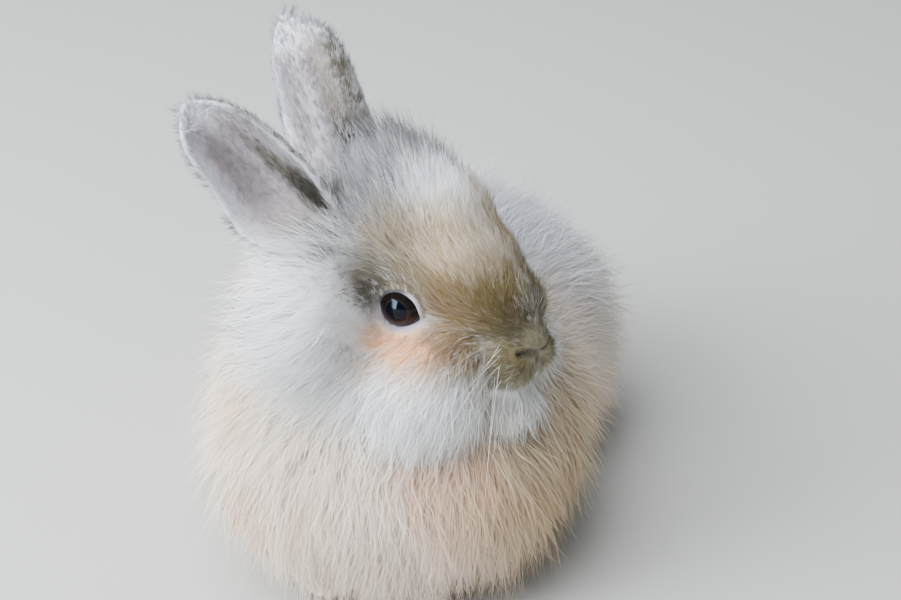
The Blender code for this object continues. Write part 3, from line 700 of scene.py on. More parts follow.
@dataclass(frozen=True)
class EarShape:
    """One ear as a cupped sheet: across runs from -1 to 1 over it, and share from 0 at its root to 1."""

    side: str
    root: Point
    tip: Point
    opens: Point
    fold: float = 1.0
    width: float = 38.0
    reach: float = 0.955
    thickness: float = 2.2
    belly: float = 0.0

    def axes(self) -> np.ndarray:
        """The matrix from the ear's own frame to the animal's.

        Returns:
            The matrix; in the ear's frame Z runs along it and the cup opens to -Y.
        """
        root = head_point(self.root)
        along = (head_point(self.tip) - root).normalized()
        opens = head_way(self.opens)
        opens = (opens - along * along.dot(opens)).normalized()
        turn = Matrix((along.cross(opens), -opens, along)).transposed().to_4x4()
        return np.array(Matrix.Translation(root) @ turn)

    def half_width(self, share: np.ndarray) -> np.ndarray:
        """Half of the flattened width at a share of the length.

        Args:
            share: Shares of the ear's length.

        Returns:
            One half width for each.
        """
        rise = 0.78 + 0.22 * np.sin(np.minimum(share / 0.5, 1) * pi / 2)
        rounding = np.sqrt(np.maximum(1 - np.maximum((share - 0.5) / 0.5, 0) ** 3.0, 0))
        return self.width / 2 * rise * (0.2 + 0.8 * rounding)

    def points(self, across: np.ndarray, share: np.ndarray) -> np.ndarray:
        """Points of the sheet's middle.

        Args:
            across: Where they lie over the ear.
            share: Where they lie along it.

        Returns:
            Rows of X, Y and Z in the animal's frame.
        """
        half = self.half_width(share)
        arc = np.radians(110 - 38 * np.minimum(share / 0.45, 1) - 16 * share)
        radius = half / arc
        angle = across * arc
        length = (Vector(self.tip) - Vector(self.root)).length * self.reach
        drop = 5.0 * across**2 * np.maximum(share - 0.55, 0) / 0.45
        back = 5.0 * np.sin(pi * share)
        outer = np.maximum(-across * self.fold, 0) * np.exp(-(((share - 0.38) / 0.22) ** 2))
        x = radius * np.sin(angle) - self.fold * self.belly * outer
        own = np.stack([x, radius * (np.cos(angle) - 1) + back, length * share - drop], axis=1)
        axes = self.axes()
        return own @ axes[:3, :3].T + axes[:3, 3]

    def ways(self, across: np.ndarray, share: np.ndarray) -> tuple[np.ndarray, np.ndarray, np.ndarray]:
        """The directions of the sheet: over it, along it, and out of its back.

        Args:
            across: Where they are read, over the ear.
            share: Where they are read, along it.

        Returns:
            Three lots of unit vectors.
        """
        step = 0.01
        over = unit(self.points(across + step, share) - self.points(across - step, share))
        along = unit(self.points(across, share + step) - self.points(across, share - step))
        return over, along, unit(np.cross(along, over))

    def tints(self, across: np.ndarray, share: np.ndarray, back: np.ndarray, noise: np.ndarray) -> np.ndarray:
        """The colour of the ear's fur, with painted shade in its cup.

        Args:
            across: Where it is read, over the ear.
            share: Where it is read, along it.
            back: True on the ear's back, False in its cup.
            noise: Streaks, from -1 to 1.

        Returns:
            Rows of red, green and blue.
        """
        inner = across * self.fold
        tint = np.where(back[:, None], np.array(EAR_BACK), np.array(EAR_CUP))
        dark = smooth(noise, 0.1, 1.1)[:, None] * 0.45
        tint = tint * (1 - dark) + np.array(EAR_DARK) * dark
        for faces, streaks in ((~back, CUP_STREAKS_AND_SHADOWS), (back, BACK_STREAKS)):
            for streak in streaks:
                weight = (streak.weight(inner, share) * faces)[:, None]
                tint = tint * (1 - weight) + np.array(streak.colour) * weight
        rim = np.maximum(smooth(-inner, 0.5, 0.9), smooth(inner, 0.86, 1.0) * 0.6)
        rim = np.maximum(rim, smooth(share, 0.74, 0.96))[:, None] * 0.9
        edge = np.where(back[:, None], np.array(EAR_BACK_RIM), np.array(EAR_RIM))
        return tint * (1 - rim) + edge * rim

    def build(self, name: str) -> bpy.types.Object:
        """The ear as a closed mesh, with its root inside the head.

        Args:
            name: The object's name.

        Returns:
            The object.
        """
        bm = bmesh.new()
        bmesh.ops.create_grid(bm, x_segments=16, y_segments=28, size=1)
        flat = np.array([vertex.co for vertex in bm.verts])
        for vertex, place in zip(bm.verts, self.points(flat[:, 0], (flat[:, 1] + 1) / 2)):
            vertex.co = place
        obj = from_bmesh(name, bm)
        shell = obj.modifiers.new("thickness", "SOLIDIFY")
        shell.thickness = self.thickness * MM
        shell.offset = 0
        bake(obj)
        bm = bmesh.new()
        bm.from_mesh(obj.data)
        bmesh.ops.recalc_face_normals(bm, faces=bm.faces)
        bm.to_mesh(obj.data)
        bm.free()
        return obj


EARS = (
    EarShape(
        "left", (9.5, 34.7, 13), (38.1, 91.7, 75.8), (0.9, 0.2, -0.3), fold=-1.0, width=39, reach=0.98, belly=4.5
    ),
    EarShape(
        "right", (-13, 26, 12), (-39.5, 80.5, 68.2), (-0.8, -0.5, 0.2), width=35.5, reach=0.985, belly=8.0
    ),
)


@dataclass(frozen=True)
class EyeShape:
    """One eye and the opening of its lids, drawn out to a corner towards the nose."""

    side: str
    radius: float = EYE_RADIUS
    opening: float = 52.5
    corner: float = 15.0
    corner_way: Point = (-0.15, -0.75, -0.66)
    rim: float = 0.7
    canthus: float = 1.6
    bulge: float = 3.0
    # Where the lids' painted shadow is strongest, in degrees round the eye.
    shade_turn: float = -160.0

    def centre(self) -> Vector:
        """The middle of the eyeball."""
        return head_point(EYE_AT, SIDES[self.side])

    def axes(self) -> Matrix:
        """The matrix from the eye's frame to the animal's.

        Returns:
            The matrix; in the eye's frame Z points out of the head and X to the corner.
        """
        out = head_way(LID_AXIS, SIDES[self.side])
        corner = head_way(self.corner_way, SIDES[self.side])
        corner = (corner - out * out.dot(corner)).normalized()
        turn = Matrix((corner, out.cross(corner), out)).transposed()
        return Matrix.Translation(self.centre()) @ turn.to_4x4()

    def edge(self, around: np.ndarray) -> np.ndarray:
        """How far from the axis the lids' edge lies, in degrees.

        Args:
            around: Angles round the axis from the corner, in radians.

        Returns:
            One angle for each.
        """
        point = np.maximum(np.cos(around), 0) ** 7
        back = np.maximum(-np.cos(around), 0) ** 2
        return self.opening + self.corner * point + 1.0 * back - 1.0 * np.abs(np.sin(around)) ** 3

    def shade(self, points: np.ndarray) -> np.ndarray:
        """How much painted shadow lies on the lids near points, strongest at the upper back of the eye.

        Args:
            points: Rows of X, Y and Z in millimetres.

        Returns:
            Shares from 0 to 1.
        """
        axes = np.array(self.axes())
        own = (points - axes[:3, 3]) @ axes[:3, :3]
        turn = radians(self.shade_turn) * SIDES[self.side]
        return smooth(np.cos(np.arctan2(own[:, 1], own[:, 0]) - turn), 0.35, 0.85)

    def clearance(self, points: np.ndarray) -> tuple[np.ndarray, np.ndarray]:
        """How far points of the head lie from the lids' edge.

        Args:
            points: Rows of X, Y and Z in millimetres.

        Returns:
            The distance, less than zero over the eye, and the way away from the eye.
        """
        axes = np.array(self.axes())
        own = (points - axes[:3, 3]) @ axes[:3, :3]
        around = np.arctan2(own[:, 1], own[:, 0])
        off_axis = np.linalg.norm(own[:, :2], axis=1)
        edge = np.radians(self.edge(around))
        flat = np.stack([np.cos(around), np.sin(around)], axis=1) * np.sin(edge)[:, None]
        lid = np.column_stack([flat, np.cos(edge)]) * self.radius
        near = np.linalg.norm(own - lid, axis=1)
        over = np.arctan2(off_axis, own[:, 2]) < edge
        over &= np.linalg.norm(own, axis=1) < self.radius + self.bulge
        near = np.where(over, -near, near) - self.canthus * np.maximum(np.cos(around), 0) ** 10
        flat = np.stack([own[:, 0], own[:, 1], np.zeros(len(own))], axis=1)
        return near, unit(flat) @ axes[:3, :3].T


EYES = (EyeShape("left"), EyeShape("right"))
LID_SIDES = 64
LID_PROFILE = (
    (-0.6, 3.0),
    (0.05, 0.6),
    (0.25, 0.0),
    (0.75, 0.25),
    (1.0, 1.1),
    (0.8, 2.2),
    (0.0, 3.8),
    (-2.5, 6.0),
)


@dataclass
class Skin:
    """The one skin of body, head, ears and lids, with the folds of nose and mouth."""

    flesh: Flesh
    markings_and_painted_light: MarkingsAndPaintedLight
    voxel: float = 2.0
    long_level: float = -0.6
    short_level: float = -1.7
    nostril: tuple = ((0.0, -52.0, -15.5), (3.5, -50.8, -15.0), (9.5, -45.0, -12.8))
    cleft: tuple = ((0.0, -52.0, -15.0), (0.0, -52.0, -18.5), (0.0, -49.0, -26.5))
    mouth: tuple = ((0.0, -47.0, -27.5), (5.0, -44.0, -29.5), (11.0, -36.0, -30.0), (15.0, -27.0, -28.0))
    obj: bpy.types.Object | None = None

    def level(self, points: np.ndarray) -> np.ndarray:
        """How deep the skin lies under the coat at each point."""
        length, _, _, _ = self.flesh.hair(points)
        return self.short_level + (self.long_level - self.short_level) * smooth(length, 7, 16)

    def body(self) -> bpy.types.Object:
        """The blended forms as one closed mesh of even faces.

        Returns:
            The object.
        """
        bm = bmesh.new()
        for form, matrix, _ in self.flesh.placed:
            scaled = matrix @ Matrix.Diagonal((*form.radii, 1))
            bmesh.ops.create_icosphere(bm, subdivisions=3, radius=1, matrix=scaled)
        obj = from_bmesh("skin", bm)
        remesh = obj.modifiers.new("fuse", "REMESH")
        remesh.mode = "VOXEL"
        remesh.voxel_size = self.voxel * MM
        bake(obj)
        rough = self.flesh.settle(points_of(obj.data), rounds=3)
        settled = self.flesh.settle(rough, self.level(rough), rounds=4)
        settled[:, 2] = np.maximum(settled[:, 2], 0)
        put_points(obj.data, settled)
        return obj

    def refine(self, obj: bpy.types.Object) -> None:
        """Cuts the faces round the nose and the mouth finer.

        Args:
            obj: The skin.
        """
        bm = bmesh.new()
        bm.from_mesh(obj.data)
        centre = np.array(head_point((0.0, -46.0, -17.0)))
        for reach in (17.0, 14.0):
            near = [e for e in bm.edges if np.linalg.norm(np.array(e.verts[0].co) / MM - centre) < reach]
            bmesh.ops.subdivide_edges(bm, edges=near, cuts=1, use_grid_fill=True)
        bmesh.ops.triangulate(bm, faces=[f for f in bm.faces if len(f.verts) > 4])
        bm.to_mesh(obj.data)
        bm.free()

    def grooves(self) -> list[tuple[np.ndarray, float, float]]:
        """The lines of nostrils, cleft and mouth on the head.

        Returns:
            The points of each line, its depth and its half width.
        """
        lines = [(self.cleft, 1, 2.0, 0.9)]
        for side in SIDES.values():
            lines += [(self.nostril, side, 2.6, 1.0), (self.mouth, side, 1.6, 0.6)]
        return [(np.array([tuple(head_point(p, side)) for p in line]), d, w) for line, side, d, w in lines]

    def groove_weight(self, points: np.ndarray, line: np.ndarray, floor: float, width: float) -> np.ndarray:
        """How much a groove takes of each point.

        Args:
            points: Rows of X, Y and Z.
            line: The points that the groove follows.
            floor: Half the width of its flat bottom.
            width: How wide its slope is.

        Returns:
            Weights from 0 to 1.
        """
        line = self.flesh.settle(line, self.short_level)
        best = np.full(len(points), 1e9)
        for start, end in zip(line[:-1], line[1:]):
            run = end - start
            share = np.clip(((points - start) @ run) / (run @ run), 0, 1)
            best = np.minimum(best, np.linalg.norm(points - start - share[:, None] * run, axis=1))
        return np.exp(-((np.maximum(best - floor, 0) / width) ** 2))

    def carve(self, obj: bpy.types.Object) -> None:
        """Sinks the nostrils, the cleft and the mouth into the skin.

        Args:
            obj: The skin.
        """
        points = points_of(obj.data)
        near = np.linalg.norm(to_head(points) - np.array((0, -44, -17)), axis=1) < 24
        close = points[near]
        close = self.flesh.settle(close, self.level(close), rounds=3)
        inward = -unit(self.flesh.slopes(close))
        sunk = np.zeros(len(close))
        for line, depth, width in self.grooves():
            sunk = np.maximum(sunk, self.groove_weight(close, line, 0.3, width) * depth)
        points[near] = close + inward * sunk[:, None]
        put_points(obj.data, points)

    def lids(self, eye: EyeShape) -> bpy.types.Object:
        """Both lids of one eye as a closed ring that hugs the eyeball.

        Args:
            eye: The eye.

        Returns:
            The ring.
        """
        bm = bmesh.new()
        rings = [bmesh.ops.create_circle(bm, segments=LID_SIDES, radius=1)["verts"] for _ in LID_PROFILE]
        axes = eye.axes()
        for ring, (rise, back) in zip(rings, LID_PROFILE):
            for vertex in ring:
                around = np.arctan2(vertex.co.y, vertex.co.x)
                edge = radians(float(eye.edge(np.array([around]))[0])) + back / eye.radius
                reach = eye.radius + rise * (eye.rim + 0.9 * max(cos(around), 0) ** 8)
                flat = Vector((cos(around), sin(around), 0)) * sin(edge)
                vertex.co = axes @ ((flat + Vector((0, 0, cos(edge)))) * reach)
        for ring, after in zip(rings, rings[1:] + rings[:1]):
            for i in range(LID_SIDES):
                j = (i + 1) % LID_SIDES
                bm.faces.new((ring[i], ring[j], after[j], after[i]))
        bmesh.ops.recalc_face_normals(bm, faces=bm.faces)
        return from_bmesh(f"lids_{eye.side}", bm)

    def socket(self, eye: EyeShape) -> bpy.types.Object:
        """A ball that clears the skin away where the eye sits.

        Args:
            eye: The eye.

        Returns:
            The ball.
        """
        bm = bmesh.new()
        place = Matrix.Translation(eye.centre())
        bmesh.ops.create_icosphere(bm, subdivisions=4, radius=eye.radius + 0.02, matrix=place)
        return from_bmesh("socket", bm)

    def tint(self) -> None:
        """Writes the animal's colours and painted light on the skin, with bare lids, nostrils and ears of their
        own, and painted shadow on the lids and along the grooves.
        """
        points = points_of(self.obj.data)
        _, _, _, on_head = self.flesh.hair(points)
        colours = self.markings_and_painted_light.at(points, on_head) * 0.95
        for ear in EARS:
            across, share = np.meshgrid(np.linspace(-1, 1, 25), np.linspace(0.15, 1, 35))
            across, share = across.ravel(), share.ravel()
            tree = KDTree(len(across))
            for i, place in enumerate(ear.points(across, share)):
                tree.insert(place, i)
            tree.balance()
            tints = ear.tints(across, share, np.zeros(len(across), bool), np.zeros(len(across)))
            far = self.flesh.outside(points) > 1.0
            for i in np.flatnonzero(far):
                _, index, away = tree.find(points[i])
                if away < 6:
                    colours[i] = tints[index] * 0.85
        for eye in EYES:
            near, _ = eye.clearance(points)
            rim = 1 - smooth(near, 1.2, 2.1)
            rim *= np.linalg.norm(points - np.array(eye.centre()), axis=1) < eye.radius + 2.5
            # The lids darken towards their upper back: painted shadow.
            dark = eye.shade(points)[:, None]
            bare = np.array(BARE_LID) * (1 - dark) + np.array(LID_SHADOW) * dark
            colours = colours * (1 - rim[:, None]) + bare * rim[:, None]
        for line, _, width in self.grooves():
            # Each groove gets bare mauve skin, then a near-black line of painted shadow along its bottom.
            for colour, floor, slope in ((MAUVE, width * 1.3, 0.4), (GROOVE_SHADOW, 0.45, 0.35)):
                bare = self.groove_weight(points, line, floor, slope)[:, None]
                colours = colours * (1 - bare) + np.array(colour) * bare
        put_tint(self.obj.data, colours)

    def unwrap(self) -> None:
        """Lays the whole skin out on its own map."""
        bpy.context.view_layer.objects.active = self.obj
        self.obj.select_set(True)
        self.obj.data.uv_layers.new(name=MAP_NAME)
        bpy.ops.object.mode_set(mode="EDIT")
        bpy.ops.mesh.select_all(action="SELECT")
        bpy.ops.uv.smart_project(angle_limit=radians(66), island_margin=0.001)
        bpy.ops.object.mode_set(mode="OBJECT")

    def build(self) -> bpy.types.Object:
        """Makes the skin and dresses it.

        Returns:
            The finished piece.
        """
        obj = self.body()
        self.refine(obj)
        self.carve(obj)
        for ear in EARS:
            combine(obj, ear.build(f"ear_{ear.side}_skin"), "UNION")
        for eye in EYES:
            combine(obj, self.socket(eye), "DIFFERENCE")
            combine(obj, self.lids(eye), "UNION")
        self.obj = obj
        obj.data.shade_smooth()
        self.tint()
        self.unwrap()
        obj.data.materials.clear()
        obj.data.materials.append(SKIN_FINISH.build())
        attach(obj, BODY)
        flesh_nodes = [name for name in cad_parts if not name.startswith("eye")]
        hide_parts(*flesh_nodes)
        LOG.info("skin: %d faces", len(obj.data.polygons))
        return obj


@dataclass
class Roots:
    """Where tufts grow, and how each of them lies."""

    at: np.ndarray
    out: np.ndarray
    along: np.ndarray
    length: np.ndarray
    lift: np.ndarray
    tint: np.ndarray
    spread: np.ndarray
    width: np.ndarray

    def part(self, chosen: np.ndarray) -> "Roots":
        """The roots that are chosen, by index or by truth."""
        return Roots(**{name: values[chosen] for name, values in self.__dict__.items()})


@dataclass(frozen=True)
class TuftStyle:
    """How the hairs of a tuft are drawn."""

    hairs: int = 7
    rings: int = 4
    gather: float = 0.3
    curl: float = 0.08
    stray: float = 0.17
    droop: float = 0.35
    end_lift: float = 0.15
    lock: float = 0.24
    lock_size: int = 12
    # Darker roots and paler tips: partly the fur's own pale tips, partly painted shade deep in the coat.
    root_shade: float = 0.96
    tip_shade: float = 1.02
    vary: float = 0.05


class SkinMap:
    """Finds the place of a root on the skin's map."""

    def __init__(self, skin: bpy.types.Object) -> None:
        """Reads the skin's faces and their places on the map.

        Args:
            skin: The finished skin.
        """
        mesh = skin.data
        self.verts = [vertex.co.copy() for vertex in mesh.vertices]
        self.polys = [tuple(polygon.vertices) for polygon in mesh.polygons]
        self.starts = [polygon.loop_start for polygon in mesh.polygons]
        flat = np.empty(len(mesh.loops) * 2, np.float32)
        mesh.uv_layers[MAP_NAME].data.foreach_get("uv", flat)
        self.uv = flat.reshape(-1, 2)
        self.tree = BVHTree.FromPolygons(self.verts, self.polys)

    def places(self, points: np.ndarray) -> np.ndarray:
        """The map's place nearest to each point.

        Args:
            points: Rows of X, Y and Z in millimetres.

        Returns:
            Rows of U and V.
        """
        found = np.empty((len(points), 2))
        for i, point in enumerate(points):
            place, _, index, _ = self.tree.find_nearest(Vector(point) * MM)
            corners = self.polys[index]
            weights = poly_3d_calc([self.verts[c] for c in corners], place)
            start = self.starts[index]
            found[i] = np.array(weights) @ self.uv[start : start + len(corners)]
        return found


@dataclass
class Coat:
    """One kind of coat, drawn as thin tapered hairs in tufts, in pieces that share a name."""

    name: str
    roots: Roots
    style: TuftStyle
    slot: Slot
    seed: int
    most: int = 190000
    patch: float = 0.003
    pieces: list[bpy.types.Object] = field(default_factory=list)

    def guides(self, rng: np.random.Generator) -> np.ndarray:
        """The middle line of each tuft, leaving the skin steeply and bending over along the lie.

        Args:
            rng: The source of chance.

        Returns:
            One row of points for each tuft.
        """
        roots, style = self.roots, self.style
        count = len(roots.at)
        path = np.empty((count, style.rings, 3))
        path[:, 0] = roots.at - roots.out * 0.4
        step = roots.length / (style.rings - 1)
        lift = np.radians(roots.lift + rng.normal(0, 7, count))
        for ring in range(1, style.rings):
            share = (ring - 0.5) / (style.rings - 1)
            angle = lift * (style.end_lift + (1 - style.end_lift) * (1 - share) ** 1.4)
            way = roots.along * np.cos(angle)[:, None] + roots.out * np.sin(angle)[:, None]
            way[:, 2] -= style.droop * share * np.clip(roots.length / 28, 0, 1)
            path[:, ring] = path[:, ring - 1] + unit(way) * step[:, None]
        return path

    def gather_locks(self, path: np.ndarray) -> np.ndarray:
        """Draws the tips of neighbouring tufts together into locks.

        Args:
            path: The middle line of each tuft.

        Returns:
            The changed lines.
        """
        leaders = np.arange(0, len(path), self.style.lock_size)
        tree = KDTree(len(leaders))
        for i, leader in enumerate(leaders):
            tree.insert(path[leader, 0], i)
        tree.balance()
        own = leaders[[tree.find(start)[1] for start in path[:, 0]]]
        share = np.linspace(0, 1, self.style.rings)
        pull = (self.style.lock * share**1.3)[None, :, None]
        lead = path[own] + (path[:, :1] - path[own][:, :1]) * 0.35
        return path * (1 - pull) + lead * pull

    def hairs(self, path: np.ndarray, rng: np.random.Generator) -> tuple[np.ndarray, np.ndarray, np.ndarray]:
        """The corners of every hair of every tuft.

        Args:
            path: The middle line of each tuft.
            rng: The source of chance.

        Returns:
            The points, the way out at each, and the share of the length of each ring.
        """
        roots, style = self.roots, self.style
        count, rings = len(path), style.rings
        share = np.linspace(0, 1, rings)
        side = np.cross(roots.out, roots.along)
        spot = np.sqrt(rng.random((count, style.hairs))) * roots.spread[:, None]
        turn = rng.random((count, style.hairs)) * 2 * pi
        offset = (spot * np.cos(turn))[..., None] * side[:, None]
        offset = offset + (spot * np.sin(turn))[..., None] * roots.along[:, None]
        reach = 1.08 - 0.6 * rng.random((count, style.hairs, 1, 1)) ** 1.4
        line = path[:, None, :1] + (path[:, None] - path[:, None, :1]) * reach
        line = line + offset[:, :, None] * (1 - style.gather * share**1.2)[None, None, :, None]
        size = (roots.length[:, None] * reach[..., 0, 0])[..., None, None]
        stray = rng.normal(size=(count, style.hairs, 1, 3)) * style.stray
        line = line + stray * size * (share**1.5)[None, None, :, None]
        phase = rng.random((count, style.hairs, 1)) * 2 * pi
        wave = np.sin(phase + share * rng.uniform(4, 9, (count, style.hairs, 1))) - np.sin(phase)
        line = line + (wave * share * style.curl)[..., None] * size * side[:, None, None]
        line[..., 2] = np.maximum(line[..., 2], 0.6 + 0.5 * rng.random((count, style.hairs, 1)))
        run = unit(np.gradient(line, axis=2))
        out = np.broadcast_to(roots.out[:, None, None], line.shape)
        flat = unit(np.cross(run, out))
        roll = rng.uniform(-0.9, 0.9, (count, style.hairs, 1, 1))
        flat = flat * np.cos(roll) + np.cross(run, flat) * np.sin(roll)
        taper = np.interp(share, (0, 0.3, 0.7, 1), (0.8, 1.0, 0.6, 0.0))
        half = roots.width[:, None, None, None] / 2 * taper[None, None, :, None]
        half = half * rng.uniform(0.7, 1.2, roll.shape)
        left, right = line - flat * half, line + flat * half
        edges = np.stack([left, right], axis=3)[:, :, :-1].reshape(count, style.hairs, -1, 3)
        points = np.concatenate([edges, line[:, :, -1:]], axis=2)
        shares = np.append(np.repeat(share[:-1], 2), 1.0)
        facing = unit(np.cross(flat, run))
        facing *= np.sign((facing * out).sum(axis=-1, keepdims=True) + 1e-6)
        soft = unit(out * 0.7 + facing * 0.45)
        normals = np.concatenate([np.repeat(soft[:, :, :-1], 2, axis=2), soft[:, :, -1:]], axis=2)
        return points, normals, shares

    def faces(self) -> np.ndarray:
        """The triangles of one hair, as a strip that ends in a point.

        Returns:
            The corners of each triangle, by index.
        """
        found = []
        for ring in range(self.style.rings - 2):
            a = ring * 2
            found += [(a, a + 1, a + 3), (a, a + 3, a + 2)]
        last = (self.style.rings - 2) * 2
        found.append((last, last + 1, last + 2))
        return np.array(found)

    def build(self, skin_map: SkinMap) -> list[bpy.types.Object]:
        """Draws the coat in as many pieces as it takes.

        Args:
            skin_map: Where roots lie on the skin's map.

        Returns:
            The finished pieces.
        """
        rng = np.random.default_rng(self.seed)
        style = self.style
        path = self.gather_locks(self.guides(rng))
        points, normals, shares = self.hairs(path, rng)
        faces = self.faces()
        per_hair = points.shape[2]
        count = len(path)
        glow = 1 + rng.normal(0, style.vary, (count, style.hairs, 1, 1))
        glow = glow + rng.normal(0, style.vary * 0.6, (count, 1, 1, 1))
        # Darker roots, paler tips along each hair: partly the fur's own tone, partly painted shade deep in the
        # coat.
        half_shade = (style.root_shade + style.tip_shade) / 2
        shade = np.interp(shares, (0, 0.45, 1), (style.root_shade, half_shade, style.tip_shade))
        tints = self.roots.tint[:, None, None] * glow * shade[None, None, :, None]
        places = skin_map.places(self.roots.at)
        strips = ((np.arange(style.hairs) + 0.5) / style.hairs - 0.5)[None, :, None]
        edge = np.append(np.tile((-0.35, 0.35), len(shares) // 2), 0.0)[None, None] / style.hairs
        u = places[:, 0, None, None] + (strips + edge) * self.patch
        v = places[:, 1, None, None] + (shares - 0.5)[None, None] * self.patch + u * 0
        uv = np.clip(np.stack([u, v], axis=-1), 0, 1)
        order = np.argsort(self.roots.at[:, 1], kind="stable")
        chunks = -(-count * style.hairs * len(faces) // self.most)
        for number, chosen in enumerate(np.array_split(order, chunks)):
            name = self.name if chunks == 1 else f"{self.name}_{number + 1}"
            hairs = len(chosen) * style.hairs
            index = (faces[None] + (np.arange(hairs) * per_hair)[:, None, None]).reshape(-1, 3)
            mesh = bpy.data.meshes.new(name)
            mesh.vertices.add(hairs * per_hair)
            mesh.vertices.foreach_set("co", (points[chosen] * MM).astype(np.float32).ravel())
            mesh.loops.add(index.size)
            mesh.loops.foreach_set("vertex_index", index.astype(np.int32).ravel())
            mesh.polygons.add(len(index))
            mesh.polygons.foreach_set("loop_start", np.arange(0, index.size, 3, dtype=np.int32))
            mesh.update(calc_edges=True)
            layer = mesh.uv_layers.new(name=MAP_NAME)
            layer.data.foreach_set("uv", uv[chosen].reshape(-1, 2)[index.ravel()].astype(np.float32).ravel())
            put_tint(mesh, tints[chosen].reshape(-1, 3))
            mesh.normals_split_custom_set_from_vertices(normals[chosen].reshape(-1, 3))
            mesh.materials.append(COAT_FINISH.build())
            obj = link(name, mesh)
            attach(obj, BODY)
            self.pieces.append(obj)
            LOG.info("%s: %d tufts, %d triangles", name, len(chosen), len(index))
        return self.pieces


